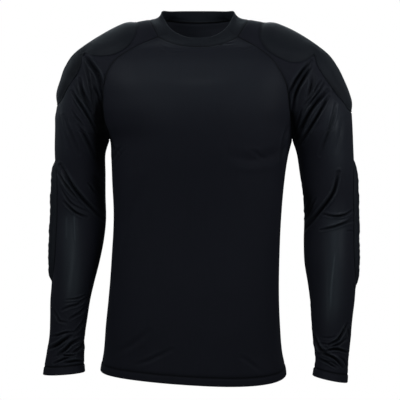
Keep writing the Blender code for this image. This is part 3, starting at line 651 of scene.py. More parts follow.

# %% [markdown]
# The places in the tables are as the camera sees them, so each point of a panel is first carried along its line of
# sight to the plane through the middle of the body. A trough's section is exp(-q^1.5) with q the distance
# over the half width, sharper at the bottom than a bell, its banks are two smaller bells beside it, and both fade
# in and out along the crease. The bottoms and the banks are also kept as marks of 0 to 1: the bottoms for painted
# shade, because little light gets into a fold, and the banks for gloss and a painted highlight, as the knit there is
# stretched.


# %% Crease depth
def as_seen(points):
    """Where lines of sight through the points meet the plane y = 0."""
    away = CAMERA_AWAY / (CAMERA_AWAY + points[..., 1])
    x = CAMERA_X + (points[..., 0] - CAMERA_X) * away
    z = CAMERA_Z + (points[..., 2] - CAMERA_Z) * away
    return np.stack([x, z], -1)


def drawn(row):
    """A row's curve as points, with the share of the way along it, its half width and its depth or strength."""
    t = np.linspace(0, 1, CREASE_STEPS)
    line = curve_through(np.arange(4.0), np.array(row[:8], float).reshape(4, 2), 3 * t)
    return line, t, row[8], row[9]


def crease_depth(seen, rows):
    """The sum over creases of depth * fade * (trough - banks), at places as seen from the front, and beside it
    the marks for painted shade at the bottoms of the troughs and for gloss and a painted highlight on the tops of
    the banks, from 0 to 1 the steeper a crease is for its width."""
    total, fold, bank = (np.zeros(seen.shape[:-1]) for _ in range(3))
    for row in rows:
        line, t, width, depth = drawn(row)
        steep = (depth / width - FOLD_FROM) / FOLD_STEEP
        width, depth = width * CREASE_NARROW, depth * CREASE_DEEP
        reach = width * BANK_REACH
        near = ((seen > line.min(axis=0) - reach) & (seen < line.max(axis=0) + reach)).all(axis=-1)
        if not near.any():
            continue
        away = np.linalg.norm(seen[near][:, None] - line, axis=-1)
        closest = away.argmin(axis=1)
        q = away[np.arange(len(away)), closest] / width
        fade = np.sin(np.pi * np.clip(t[closest], CREASE_ENDS, 1 - CREASE_ENDS)) ** CREASE_FADE
        banks = BANK * np.exp(-(((q - BANK_AWAY) / BANK_WIDTH) ** 2))
        total[near] += depth * fade * (np.exp(-(q**CREASE_SHARP)) - banks)
        sharp = fade * np.clip(steep, 0, 1)
        # Painted shade: the bottom of a steep crease is marked to be painted darker.
        fold[near] = np.maximum(fold[near], sharp * np.exp(-((q / PAINTED_SHADE_NARROW) ** 2)))
        bank[near] = np.maximum(bank[near], sharp * np.exp(-((q - BANK_AWAY) ** 2)))
    return total, fold, bank


def turned_over(rows):
    """The same creases for the hidden side: mirrored in x, shifted, and shallower."""
    shifted = []
    for row in rows:
        places = np.array(row[:8], float).reshape(4, 2) * (-1, 1) + BACK_SHIFT
        shifted.append((*places.reshape(-1), row[8] * BACK_WIDTH, row[9] * BACK_DEPTH))
    return shifted


def creased(grid, facing, front_rows, back_rows):
    """The grid moved in along its normals by the front creases where it faces the front, and so for the back, and
    beside it the two marks: painted shade in the troughs, gloss and a painted highlight on the banks."""
    seen = as_seen(grid)
    towards = -facing[..., 1]
    both = [np.stack(crease_depth(seen, rows)) for rows in (front_rows, back_rows)]
    shares = [smooth_steps(*CREASE_TURN, towards * side) for side in (1, -1)]
    depth, fold, bank = both[0] * shares[0] + both[1] * shares[1]
    return grid - facing * depth[..., None], fold, bank


bent, painted_shades, banks = {}, {}, {}
for name, other in zip(SIDES, SIDES[::-1]):
    behind = turned_over(CREASES[other])
    bent[name], painted_shades[name], banks[name] = creased(sleeves[name], normals[name], CREASES[name], behind)
bent[-1], painted_shades[-1], banks[-1] = creased(body[-1], normals[-1], CREASES["body"], ())
bent[1], painted_shades[1], banks[1] = creased(body[1], normals[1], (), turned_over(CREASES["body"][:BACK_ROWS]))
bent["collar"] = collar
print("deepest crease", round(float(np.linalg.norm(bent["left"] - sleeves["left"], axis=-1).max()), 1), "mm")

# %% [markdown]
# ## Gloss and a painted highlight where the knit is stretched tight, painted shade where hardly any light gets in
#
# Stretched over a forearm, the yarns lie flat and shine more, in a long patch with one or two bright tension lines.
# There the mark makes the cloth glossier and also paints a highlight into its colour, and a broad patch over the
# upper chest gets the same. Inside the upper arms the cloth is bunched in small folds that no light reaches, and so
# it is beside the notch of each shoulder pad; there a mark paints shade into the colour. Both are kept as marks on
# the cloth, from 0 to 1, for the material to read. Painting them by hand would do too, but a curve with a width
# says where they are in plain sizes.

# %% Tight and shaded places
# Columns of all three tables: x0 z0 x1 z1 x2 z2 x3 z3 width strength.
# Gloss and painted highlight: these places are made smoother and glossier, and painted paler.
GLOSS_AND_PAINTED_HIGHLIGHT = {
    "left": (
        (-243, -352, -241, -420, -238, -480, -236, -560, 17, 1.0),
        (-258, -90, -258, -160, -258, -220, -256, -290, 15, 0.4),
        (-248, -367, -249, -389, -249, -406, -250, -427, 2.6, 1.5),
        (-234, -363, -234, -387, -233, -408, -231, -435, 2.2, 1.7),
    ),
    "right": (
        (262, -345, 261, -430, 256, -510, 250, -595, 17, 1.0),
        (260, -150, 260, -190, 263, -240, 268, -300, 20, 0.55),
        (261, -425, 256, -472, 252, -514, 249, -575, 2.2, 2.6),
    ),
    "body": ((-150, -120, -50, -110, 50, -110, 150, -120, 65, 0.35),),
}
# Painted shade: places where little light gets in, painted darker through the same mark as the creases.
SHADED = {
    "left": (
        (-210, -76, -202, -113, -197, -151, -191, -200, 15, 0.4),
        (-181, -136, -185, -189, -183, -240, -180, -316, 13, 1.5),
        (-200, -287, -187, -321, -180, -348, -176, -386, 10, 0.8),
        (-178, -372, -180, -420, -189, -461, -200, -514, 6, 0.8),
    ),
    "right": (
        (202, -113, 193, -140, 187, -166, 185, -200, 14, 0.25),
        (174, -166, 177, -193, 182, -212, 189, -246, 9, 1.2),
        (200, -318, 208, -344, 210, -359, 210, -386, 9, 0.8),
    ),
}
# Painted shade on the pads, beside the notch and along the lower edge.
PAD_SHADED = {
    "left": (
        (-215, -64, -221, -81, -231, -100, -244, -121, 7, 0.5),
        (-244, -117, -248, -129, -251, -140, -259, -151, 6, 0.35),
    ),
    "right": (
        (212, -76, 214, -91, 219, -102, 231, -112, 6, 0.6),
        (227, -110, 240, -119, 255, -136, 272, -157, 6, 0.6),
    ),
}
BANK_GLOSS_AND_HIGHLIGHT, PATCH_ENDS, PATCH_TURN = 0.55, 0.25, 0.3


def patches(grid, facing, rows):
    """The largest of strength * exp(-q^2) * fade over the rows, q the distance over the half width, in front."""
    seen = as_seen(grid)
    found = np.zeros(grid.shape[:-1])
    for row in rows:
        line, t, width, strength = drawn(row)
        away = np.linalg.norm(seen[..., None, :] - line, axis=-1)
        fade = smooth_steps(0, PATCH_ENDS, t) * smooth_steps(0, PATCH_ENDS, 1 - t)
        found = np.maximum(found, strength * (np.exp(-((away / width) ** 2)) * fade).max(axis=-1))
    return found * smooth_steps(0, PATCH_TURN, -facing[..., 1])


# Gloss and painted highlight on the crease banks, on the forearms and over the upper chest.
tight = {key: bank * BANK_GLOSS_AND_HIGHLIGHT for key, bank in banks.items()}
tight[-1] = np.maximum(tight[-1], patches(body[-1], normals[-1], GLOSS_AND_PAINTED_HIGHLIGHT["body"]))
for name in SIDES:
    tight[name] = np.maximum(tight[name], patches(sleeves[name], normals[name], GLOSS_AND_PAINTED_HIGHLIGHT[name]))
    # Painted shade in the sleeves' shaded places.
    painted_shades[name] = np.minimum(np.maximum(painted_shades[name], patches(sleeves[name], normals[name], SHADED[name])), 1)
print("tightest", {name: round(float(values.max()), 2) for name, values in tight.items()})

# %% [markdown]
# ## The pads' outlines
#
# The shoulder and elbow pads are foam under a cover of the same black knit, sewn down round a flat border. Cloth
# simulation is the usual way to swell a cushion. These pads are only five to eight millimetres thick and follow a
# curved sleeve, and the remesh it needs would take away the narrow border. So the height is given by a formula of
# the distance to the edge: flat on the border, then a round shoulder up to a nearly level top. The outlines come
# first, because the sleeve's cloth is drawn in along them.

# %% Pad tables
# Columns: station along the sleeve, and place round it, from 0 on the outer line to -1 and 1 on the seams.
SHOULDER_BEHIND = ((19.20, 0.48), (20.40, 0.60), (21.30, 0.58), (21.90, 0.40), (22.20, 0.20))
SHOULDER_OUTLINES = {
    "left": (
        (22.35, 0.00),
        (22.30, -0.18),
        (21.96, -0.48),
        (21.62, -0.66),
        (21.20, -0.79),
        (20.80, -0.87),
        (20.26, -0.85),
        (19.99, -0.65),
        (19.96, -0.41),
        (20.01, -0.28),
        (20.07, -0.16),
        (19.38, -0.29),
        (18.63, -0.33),
        (18.04, -0.27),
        (17.33, -0.20),
        (16.36, -0.13),
        (15.80, -0.05),
        (15.60, 0.00),
        (15.90, 0.05),
        (16.80, 0.18),
        (18.00, 0.34),
        *SHOULDER_BEHIND,
    ),
    "right": (
        (22.35, 0.00),
        (22.33, -0.19),
        (22.09, -0.46),
        (21.71, -0.68),
        (21.09, -0.84),
        (20.62, -0.90),
        (20.18, -0.89),
        (19.85, -0.83),
        (19.60, -0.75),
        (19.50, -0.65),
        (19.56, -0.52),
        (19.74, -0.38),
        (19.99, -0.22),
        (19.22, -0.31),
        (18.26, -0.30),
        (16.86, -0.22),
        (15.88, -0.12),
        (15.10, -0.05),
        (14.90, 0.00),
        (15.20, 0.05),
        (16.40, 0.18),
        (17.80, 0.34),
        *SHOULDER_BEHIND,
    ),
}
SHOULDER_NOTCH = {"left": 10, "right": 12}
SHOULDER_MIDDLE = {"left": (20.6, 0.06), "right": (21.2, 0.06)}
ELBOW_ENDS = {"left": (6.0, 11.6), "right": (5.7, 11.7)}
ELBOW_FRONT = {"left": -0.28, "right": -0.21}
ELBOW_BACK, ELBOW_SQUARE = 0.72, 3.2
ELBOW_END_ROUND = {"left": 20.0, "right": 38.0}
STATION_LENGTH, REACH_LENGTH = 30.0, 90.0
SPOKES, PAD_RINGS, INMOST, OUTLINE_STEPS = 200, 32, 0.05, 1000
SHOULDER_FOAM, ELBOW_FOAM = 4.6, 7.4
BORDER_THICK, BORDER_WIDE, SHOULDER_ROUND, ELBOW_ROUND = 0.5, 2.6, 22.0, 13.0
PAD_LIFT, PAD_SUNK, NEARBY, INSIDE_DROP = -0.2, 0.4, 1e-3, 20.0


def shoulder_outline(name):
    """The table as a smooth closed curve, evenly spaced, starting and ending at its sharp notch."""
    rows, notch = np.array(SHOULDER_OUTLINES[name]), SHOULDER_NOTCH[name]
    rows[:, 1] = np.sign(rows[:, 1]) * np.sqrt(np.abs(rows[:, 1]))
    order = np.concatenate([rows[notch:], rows[: notch + 1]])
    fine = curve_through(np.arange(float(len(order))), order, np.linspace(0, len(order) - 1, OUTLINE_STEPS))
    scaled = np.concatenate([fine * (STATION_LENGTH, REACH_LENGTH), np.zeros((OUTLINE_STEPS, 1))], axis=1)
    spaced = evenly(scaled[None], np.linspace(0, 1, SPOKES + 1))[0, :-1]
    return spaced[:, :2] / (STATION_LENGTH, REACH_LENGTH)


def elbow_outline(name):
    """|u|^n + |v|^n = 1 stretched between its ends: a rounded oblong."""
    ends, front = ELBOW_ENDS[name], ELBOW_FRONT[name]
    angle = np.arange(SPOKES) * TAU / SPOKES
    u = np.sign(np.cos(angle)) * np.abs(np.cos(angle)) ** (2 / ELBOW_SQUARE)
    v = np.sign(np.sin(angle)) * np.abs(np.sin(angle)) ** (2 / ELBOW_SQUARE)
    station = (ends[0] + ends[1]) / 2 + v * (ends[1] - ends[0]) / 2
    return np.stack([station, (front + ELBOW_BACK) / 2 + u * (ELBOW_BACK - front) / 2], -1)


print("pads of", SPOKES, "spokes by", PAD_RINGS, "rings")

# %% [markdown]
# ## Seams, hems and the sink beside them
#
# Along every seam the cloth is drawn in a little by the stitches, and along a turned hem it is thicker, with a
# shallow line where the stitches pull both layers together. Both are worked out from the distance to a line of
# points, which a kd-tree or, as here, one matrix product finds for the whole panel.

# %% Seam lines and the cloth drawn in along them
SEAM_SINK, SEAM_SINK_WIDTH = 1.4, 2.1
HEM_TALL, CUFF_TALL = 17.0, 16.5
# HEM_SHADE is the strength of the painted shade along the hem's stitch line.
HEM_SWELL, HEM_SOFT, HEM_LINE, HEM_LINE_BELOW, HEM_LINE_WIDTH, HEM_SHADE = 0.6, 1.0, 1.4, 1.5, 1.8, 0.85
EDGE_IN = 0.15


def distance_to(points, line):
    """The smallest distance of each point from a dense line: sqrt(|p|^2 + |l|^2 - 2 p.l), at its least."""
    flat = points.reshape(-1, 3)
    squares = (flat**2).sum(axis=1)[:, None] + (line**2).sum(axis=1) - 2 * flat @ line.T
    return np.sqrt(np.maximum(squares.min(axis=1), 0)).reshape(points.shape[:-1])


def dense(line, step=1.5):
    """A line with points every step along its length."""
    length = np.linalg.norm(np.diff(line, axis=0), axis=1).sum()
    return evenly(line[None], np.linspace(0, 1, max(int(length / step), 2)))[0]


def drawn_in(grid, facing, lines):
    """The grid sunk by SEAM_SINK * exp(-(distance / width)^2) beside each seam line."""
    sink = np.zeros(grid.shape[:-1])
    for line in lines:
        sink = np.maximum(sink, SEAM_SINK * np.exp(-((distance_to(grid, dense(line)) / SEAM_SINK_WIDTH) ** 2)))
    return grid - facing * sink[..., None]


def hemmed(grid, facing, edge, tall):
    """Swollen by a second layer below the hem's top, with a line of stitches drawn in there and painted shade along it.
    """
    above = distance_to(grid, dense(edge))
    swell = HEM_SWELL * (1 - smooth_steps(tall - HEM_SOFT, tall + HEM_SOFT, above))
    line = np.exp(-(((above - tall + HEM_LINE_BELOW) / HEM_LINE_WIDTH) ** 2))
    return grid + facing * (swell - HEM_LINE * line)[..., None], line * HEM_SHADE


ring_rows = SLEEVE_RINGS + 1
ENDS, EDGES = {-1: "front", 1: "back"}, {"left": 0, "right": -1}
seam_lines = {"collar": collar[0]}
for name, edge in EDGES.items():
    for side, end in ENDS.items():
        seam_lines[f"raglan_{end}_{name}"] = bent[side][BODY_LOWER:, edge]
    seam_lines["side_" + name] = bent[-1][: BODY_LOWER + 1, edge]
    seam_lines["underarm_" + name] = bent[name][:ring_rows, 0]
RAGLANS = {name: [seam_lines[f"raglan_{end}_{name}"] for end in ENDS.values()] for name in SIDES}
panels = {}
for side, end in ENDS.items():
    sewn = f"raglan_{end}_left", f"raglan_{end}_right", "side_left", "side_right", "collar"
    lines = [seam_lines[key] for key in sewn]
    hem, shade = hemmed(bent[side], normals[side], bent[side][0], HEM_TALL)
    # Painted shade along the hem's stitch line.
    painted_shades[side] = np.maximum(painted_shades[side], shade)
    panels[end] = drawn_in(hem, normals[side], lines)
PAD_EDGES = {}
for name in SIDES:
    outlines = shoulder_outline(name), elbow_outline(name)
    PAD_EDGES[name] = [on_sleeve(SLEEVES[name], *np.concatenate([one, one[:1]]).T) for one in outlines]
    hem, shade = hemmed(bent[name], normals[name], bent[name][0], CUFF_TALL)
    # Painted shade along the cuff's stitch line.
    painted_shades[name] = np.maximum(painted_shades[name], shade)
    lines = RAGLANS[name] + [seam_lines["underarm_" + name], seam_lines["collar"], *PAD_EDGES[name]]
    panels["sleeve_" + name] = drawn_in(hem, normals[name], lines)
panels["collar"] = drawn_in(collar, normals["collar"], [seam_lines["collar"]])
print({name: grid.shape[:2] for name, grid in panels.items()})

# %% [markdown]
# ## From a grid to a shell of cloth
#
# Real knit is a sheet with two faces. A Solidify modifier could add the second one, but here the wall is built
# directly, so that its edge can be rounded and its thickness can double at a hem. Each corner of a face also
# remembers its place in the flat cloth, in metres, as a UV map: the knit pattern then follows the cloth.

# %% Shell builder
CLOTH_WALL, HEM_WALL, COLLAR_WALL = 1.2, 2.2, 2.2
EDGE_ROUND = 0.42


def flat_places(grid):
    """The place of each grid point in the flat cloth: running length along its row, and along the middle column."""
    across = np.linalg.norm(np.diff(grid, axis=1), axis=-1)
    u = np.concatenate([np.zeros((len(grid), 1)), np.cumsum(across, axis=1)], axis=1)
    u = u - u[:, [grid.shape[1] // 2]]
    along = np.linalg.norm(np.diff(grid[:, grid.shape[1] // 2], axis=0), axis=-1)
    v = np.concatenate([[0], np.cumsum(along)])[:, None] + 0 * u
    return np.stack([u, v], -1).reshape(-1, 2) * MM


def grid_quads(rows, columns_):
    """Four corners for each cell of a grid."""
    index = np.arange(rows * columns_).reshape(rows, columns_)
    return np.stack([index[:-1, :-1], index[:-1, 1:], index[1:, 1:], index[1:, :-1]], -1).reshape(-1, 4)


def cap_quads(sides):
    """Cells across a ring of points, from its one half to the other."""
    k = np.arange(sides // 2 - 1)
    return np.stack([k, k + 1, sides - 2 - k, sides - 1 - k], -1)


def joined(rows, columns_, closed_rows):
    """For each grid point the number of the point that stands for it, the last column being the first again."""
    index = np.arange(rows * columns_).reshape(rows, columns_)
    index[:closed_rows, -1] = index[:closed_rows, 0]
    return index.reshape(-1)


def open_edges(faces):
    """The directed edges that only one face uses."""
    ends = np.concatenate([faces[:, [k, (k + 1) % 4]] for k in range(4)])
    _, index, count = np.unique(np.sort(ends, axis=1), axis=0, return_inverse=True, return_counts=True)
    return ends[count[index.reshape(-1)] == 1]


def drawn_back(points, facing, edges, distance):
    """Points of an open edge moved into the panel, across the edge and along the surface."""
    ways = unit(points[edges[:, 1]] - points[edges[:, 0]])
    inwards = np.zeros_like(points)
    np.add.at(inwards, edges[:, 0], unit(np.cross(facing[edges[:, 0]], ways)))
    np.add.at(inwards, edges[:, 1], unit(np.cross(facing[edges[:, 1]], ways)))
    return unit(inwards) * (np.linalg.norm(inwards, axis=1, keepdims=True) > SMALL) * distance


def coarse(rows, columns_, stride):
    """The inner wall's larger cells, and for each grid point the corner of theirs that is nearest in the grid."""
    index = np.arange(rows * columns_).reshape(rows, columns_)
    near = [np.minimum((np.arange(n) + stride // 2) // stride * stride, n - 1) for n in (rows, columns_)]
    kept = index[::stride, ::stride]
    quads = np.stack([kept[:-1, :-1], kept[:-1, 1:], kept[1:, 1:], kept[1:, :-1]], -1).reshape(-1, 4)
    return quads, index[near[0]][:, near[1]].reshape(-1)


def shell(points, facing, cells, stands, flat, wall, inside):
    """Outer points, the same points less normal * wall, and a rounded rim through a third row of points."""
    wall = np.reshape(wall, (-1, 1))
    inner_cells, nearest = inside
    corners = points[cells]
    turned = np.cross(corners[:, 2] - corners[:, 0], corners[:, 3] - corners[:, 1])
    if (turned * facing[cells[:, 0]]).sum() < 0:
        cells, inner_cells = cells[:, ::-1], inner_cells[:, ::-1]
    edges = open_edges(stands[cells])
    back = drawn_back(points, facing, edges, EDGE_IN)
    outer = points + back
    inner = outer - facing * wall
    rim = (outer + inner) / 2 - unit(back) * wall * EDGE_ROUND
    count = len(points)
    start, end = edges.T
    below_start, below_end = stands[nearest[start]] + count, stands[nearest[end]] + count
    upper_rim = np.stack([end, start, start + 2 * count, end + 2 * count], -1)
    lower_rim = np.stack([end + 2 * count, start + 2 * count, below_start, below_end], -1)
    faces = np.concatenate([stands[cells], stands[inner_cells][:, ::-1] + count, upper_rim, lower_rim])
    places = np.concatenate([cells, inner_cells[:, ::-1] + count, upper_rim, lower_rim])
    return np.concatenate([outer, inner, rim]), faces, np.tile(flat, (3, 1))[places.reshape(-1)]


print("one cell:", grid_quads(2, 2))

# %% [markdown]
# ## Making the objects
#
# Arrays go into a mesh in one step each. Points that no face uses are dropped first, so the mesh is one clean
# closed surface, and every object stays at the origin with its place in its mesh.

# %% Mesh maker
SHARP = np.radians(60)
made = {}


def signed_volume(points, faces):
    """The sum over faces of corner . (corner x corner) / 6, positive when the faces point outwards."""
    points = points - points.mean(axis=0)
    a, b, c, d = (points[faces[:, k]] for k in range(4))
    return float((a * (np.cross(b, c) + np.cross(c, d))).sum() / 6)


def add_piece(name, points, faces, places, material, marks=()):
    """A closed mesh object in metres from points and faces, with a flat place for each corner or none, and marks
    that name a value for each point. A face that names one corner twice running becomes a triangle."""
    if signed_volume(points, faces) < 0:
        faces = faces[:, ::-1]
        places = None if places is None else places.reshape(-1, 4, 2)[:, ::-1]
    kept, numbers = np.unique(faces, return_inverse=True)
    numbers = numbers.reshape(faces.shape)
    single = numbers != np.roll(numbers, 1, axis=1)
    loops_of = np.split(numbers[single], np.cumsum(single.sum(axis=1))[:-1])
    mesh = bpy.data.meshes.new(name)
    mesh.from_pydata((points[kept] * MM).tolist(), [], [corners.tolist() for corners in loops_of])
    if places is not None:
        mesh.uv_layers.new(name="cloth").uv.foreach_set("vector", places.reshape(-1, 2)[single.reshape(-1)].reshape(-1))
    for mark, values in dict(marks).items():
        mesh.attributes.new(mark, "FLOAT", "POINT").data.foreach_set("value", values[kept].astype(np.float32))
    mesh.shade_smooth()
    mesh.set_sharp_from_angle(angle=SHARP)
    mesh.materials.append(material)
    piece = bpy.data.objects.new(name, mesh)
    bpy.context.scene.collection.objects.link(piece)
    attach(piece, "root")
    made[name] = piece
    return piece


# %% [markdown]
# ## Materials as formulas
#
# A finish is a pattern worked out at every point of the surface. Nodes could be placed one by one, but a formula is
# easier to read and to change, so one small class lets the output of a node be added and multiplied like a number.
# It makes the Math nodes by itself, and one method adds every other kind of node.


# %% Node arithmetic
class Signal:
    """A node's output. Arithmetic on it adds a Math node and gives that node's output."""

    def __init__(self, finish, socket):
        self.finish, self.socket = finish, socket

    def math(self, operation, *others):
        return self.finish.node("Math", dict(enumerate((self, *others))), operation=operation)

    def __add__(self, other):
        return self.math("ADD", other)

    def __sub__(self, other):
        return self.math("SUBTRACT", other)

    def __mul__(self, other):
        return self.math("MULTIPLY", other)

    def __truediv__(self, other):
        return self.math("DIVIDE", other)

    def __pow__(self, other):
        return self.math("POWER", other)

    def __rsub__(self, other):
        return self * -1 + other

    __radd__, __rmul__ = __add__, __mul__


class Finish:
    """A material's node tree. node() adds a node with its settings and its inputs, each a value or a Signal."""

    def __init__(self, name, **constants):
        self.material = bpy.data.materials.new(name)
        self.material.use_nodes = True
        self.tree = self.material.node_tree
        self.shader = self.tree.nodes["Principled BSDF"]
        for key, value in constants.items():
            self.shader.inputs[key.replace("_", " ")].default_value = value

    def node(self, kind, inputs, output=0, **settings):
        added = self.tree.nodes.new("ShaderNode" + kind)
        for key, value in settings.items():
            setattr(added, key, value)
        for key, value in inputs.items():
            if isinstance(value, Signal):
                self.tree.links.new(value.socket, added.inputs[key])
            else:
                added.inputs[key].default_value = value
        return Signal(self, added.outputs[output])

    def flat(self):
        """The place in the flat cloth in millimetres: across the wales and along them."""
        where = self.node("UVMap", {}, uv_map="cloth")
        return [self.node("SeparateXYZ", {0: where}, output=axis) / MM for axis in (0, 1)]

    def noise(self, size, detail=3.0, stretch=(1, 1, 1)):
        """Soft noise of 0 to 1 in the object's own space, with lumps of this size in millimetres."""
        where = self.node("TexCoord", {}, output="Object")
        scaled = self.node("Mapping", {"Vector": where, "Scale": stretch})
        return self.node("TexNoise", {"Vector": scaled, "Scale": 1 / (size * MM), "Detail": detail})

    def mark(self, name):
        """The value of 0 to 1 that the mesh holds at each point under this name, or 0."""
        return self.node("Attribute", {}, output="Fac", attribute_name=name)

    def mix(self, share, one, other):
        """A colour between two colours."""
        return self.node("Mix", {0: share, 6: one, 7: other}, output=2, data_type="RGBA")

    def use(self, colour, roughness, relief):
        """Colour, roughness, and a relief in millimetres turned into a bump."""
        bump = self.node("Bump", {"Height": relief, "Distance": MM, "Strength": 1.0})
        for key, value in (("Base Color", colour), ("Roughness", roughness), ("Normal", bump)):
            self.tree.links.new(value.socket, self.shader.inputs[key])
        return self.material


print("a finish is a node tree that reads like a formula")

# %% [markdown]
# ## The knits
#
# The body is a fine, slightly shiny jersey: columns of small V-shaped loops, about one millimetre wide. A picture of
# knit could be repeated over the cloth, but a formula never shows a repeat and has no resolution. In each column the
# height of a loop is a wave along the column, shifted more the further it is from the column's middle, which makes
# the V. Yarn is never quite even, so long faint streaks and broad soft patches vary the colour. The marks on the
# cloth paint shade into folds and shaded places, make it shinier and paint a highlight where it is tight, and paint
# light on its wrong side at the back of the neck.

# %% Knit finishes
CLOTH_DARK, CLOTH_LIGHT = (0.0140, 0.0142, 0.0208, 1), (0.0222, 0.0228, 0.0322, 1)
COLLAR_DARK, COLLAR_LIGHT = (0.0150, 0.0166, 0.0215, 1), (0.0235, 0.0264, 0.0335, 1)
PAD_DARK, PAD_LIGHT = (0.0145, 0.0162, 0.0208, 1), (0.0222, 0.0250, 0.0318, 1)
THREAD_DARK, THREAD_LIGHT = (0.0022, 0.0024, 0.0034, 1), (0.0052, 0.0058, 0.0074, 1)
COOL = (0.80, 0.90, 1.0, 1)
# Painted shade: the near-black colour that folds and shaded places are painted towards.
PAINTED_SHADE_COLOUR, PAINTED_SHADE_SHARE = (0.0006, 0.0006, 0.0014, 1), 0.96
# Painted light: the paler colour painted on the inside of the back of the neck.
PAINTED_LIGHT_COLOUR, PAINTED_LIGHT_SHARE = (0.070, 0.072, 0.090, 1), 0.9
KNIT = {"Sheen_Roughness": 0.35, "Specular_IOR_Level": 0.16, "Coat_Roughness": 0.33}
# Painted highlight: the paler colour painted where the knit is tight; the smoothing and the coat are its real gloss.
PAINTED_HIGHLIGHT_COLOUR, PAINTED_HIGHLIGHT_SHARE, TIGHT_SMOOTH, TIGHT_COAT = (0.062, 0.078, 0.088, 1), 0.38, 0.16, 0.3
GROOVE_STEEP, GROOVE_LEAST = 7, 0.3
STREAK_WIDE, STREAK_LONG, PATCH_SIZE, FUZZ_SIZE, FUZZ_DETAIL = 2.4, 90, 55, 0.7, 2.0
STITCH_LIGHT, STREAK_LIGHT, PATCH_LIGHT, FUZZ_LIGHT, LIGHT_LESS = 0.35, 0.55, 0.45, 0.2, 0.25
STITCH_ROUGH, STREAK_ROUGH, PATCH_ROUGH, FOLD_ROUGH = 0.05, 0.04, 0.08, 0.2
FUZZ_HIGH, PATCH_HIGH = 0.05, 0.15


def loops(finish, wale, course, lean=1.0):
    """Height 0 to 1 of V stitches: (0.5 + 0.5 cos(2 pi (v / course + lean a))) (1 - (2a)^4) (a groove at a = 0),
    with a the distance from the middle of a column."""
    u, v = finish.flat()
    a = ((u / wale).math("FRACT") - 0.5).math("ABSOLUTE")
    wave = ((v / course + a * lean) * TAU).math("COSINE") * 0.5 + 0.5
    edge = 1 - (a * 2) ** 4
    groove = (a * GROOVE_STEEP + GROOVE_LEAST).math("MINIMUM", 1.0)
    return wave * edge * groove


def streaks(finish, width, length):
    """Long faint stripes along the columns of loops: noise stretched in the flat cloth."""
    u, v = finish.flat()
    where = finish.node("CombineXYZ", {0: u / width, 1: v / length})
    return finish.node("TexNoise", {"Vector": where, "Scale": 1.0, "Detail": 2.0})


def knit_finish(name, dark, light, wale, course, rough, high, **constants):
    """Loops, streaks, soft patches and fuzz, with the marks' painted shade, painted highlight and painted light over
    them, made into colour, roughness and relief.
    """
    finish = Finish(name, Sheen_Tint=COOL, **constants)
    stitch = loops(finish, wale, course)
    streak = streaks(finish, STREAK_WIDE, STREAK_LONG)
    patch = finish.noise(PATCH_SIZE)
    fuzz = finish.noise(FUZZ_SIZE, FUZZ_DETAIL)
    share = stitch * STITCH_LIGHT + streak * STREAK_LIGHT + patch * PATCH_LIGHT + fuzz * FUZZ_LIGHT
    share = (share - LIGHT_LESS).math("MINIMUM", 1.0)
    fold, gloss_and_painted_highlight_here, inner = (finish.mark(mark) for mark in ("fold", "tight", "inner"))
    colour = finish.mix(share.math("MAXIMUM", 0.0), dark, light)
    # Painted highlight: paler where the knit is tight.
    colour = finish.mix((gloss_and_painted_highlight_here * PAINTED_HIGHLIGHT_SHARE).math("MINIMUM", 1.0), colour, PAINTED_HIGHLIGHT_COLOUR)
    # Painted light on the inside of the back of the neck.
    colour = finish.mix(inner * PAINTED_LIGHT_SHARE, colour, PAINTED_LIGHT_COLOUR)
    # Painted shade in folds and shaded places.
    colour = finish.mix(fold * PAINTED_SHADE_SHARE, colour, PAINTED_SHADE_COLOUR)
    roughness = rough + patch * PATCH_ROUGH - stitch * STITCH_ROUGH + streak * STREAK_ROUGH
    roughness = roughness + fold * FOLD_ROUGH - gloss_and_painted_highlight_here * TIGHT_SMOOTH
    finish.tree.links.new((gloss_and_painted_highlight_here * TIGHT_COAT).socket, finish.shader.inputs["Coat Weight"])
    return finish.use(colour, roughness, stitch * high + fuzz * FUZZ_HIGH + patch * PATCH_HIGH)


JERSEY_LOOPS = {"wale": 1.1, "course": 0.9, "rough": 0.60, "high": 0.10, "Sheen_Weight": 0.05}
RIB_LOOPS = {"wale": 1.5, "course": 1.0, "rough": 0.50, "high": 0.16, "Sheen_Weight": 0.08}
PAD_LOOPS = {"wale": 0.9, "course": 0.7, "rough": 0.48, "high": 0.08, "Sheen_Weight": 0.06}
jersey = knit_finish("compression_jersey", CLOTH_DARK, CLOTH_LIGHT, **JERSEY_LOOPS, **KNIT)
rib = knit_finish("collar_knit", COLLAR_DARK, COLLAR_LIGHT, **RIB_LOOPS, **KNIT)
pad_knit = knit_finish("pad_cover_knit", PAD_DARK, PAD_LIGHT, **PAD_LOOPS, **KNIT)

twist = Finish("sewing_thread", Specular_IOR_Level=0.25)
strand = twist.noise(0.5, 2.0, (1, 1, 2.5))
thread = twist.use(twist.mix(strand, THREAD_DARK, THREAD_LIGHT), strand * 0.1 + 0.6, strand * 0.06)
print(len(bpy.data.materials), "materials")

# %% [markdown]
# ## The panels
#
# The front, the back and both sleeves are cut from the jersey and shown as shells of their own. The hems at the
# bottom and at the cuffs are turned up once, so the wall is nearly twice as thick there. The inner face of the
# cloth is hardly seen, so its cells are three times as large, and it lies below the deepest crease near it. The
# collar is a strip folded in two, with a soft round fold at its top. Only at the back of the neck does the wrong
# side of the cloth show, so only there is it marked for painted light, a paler colour where little light reaches.

# %% Panels
PANEL_KEYS = {"front": -1, "back": 1, "sleeve_left": "left", "sleeve_right": "right", "collar": "collar"}
FACING = {name: normals[key] for name, key in PANEL_KEYS.items()}
UNBENT = {name: {**body, **sleeves, "collar": collar}[key] for name, key in PANEL_KEYS.items()}
INSIDE_STRIDE = 3
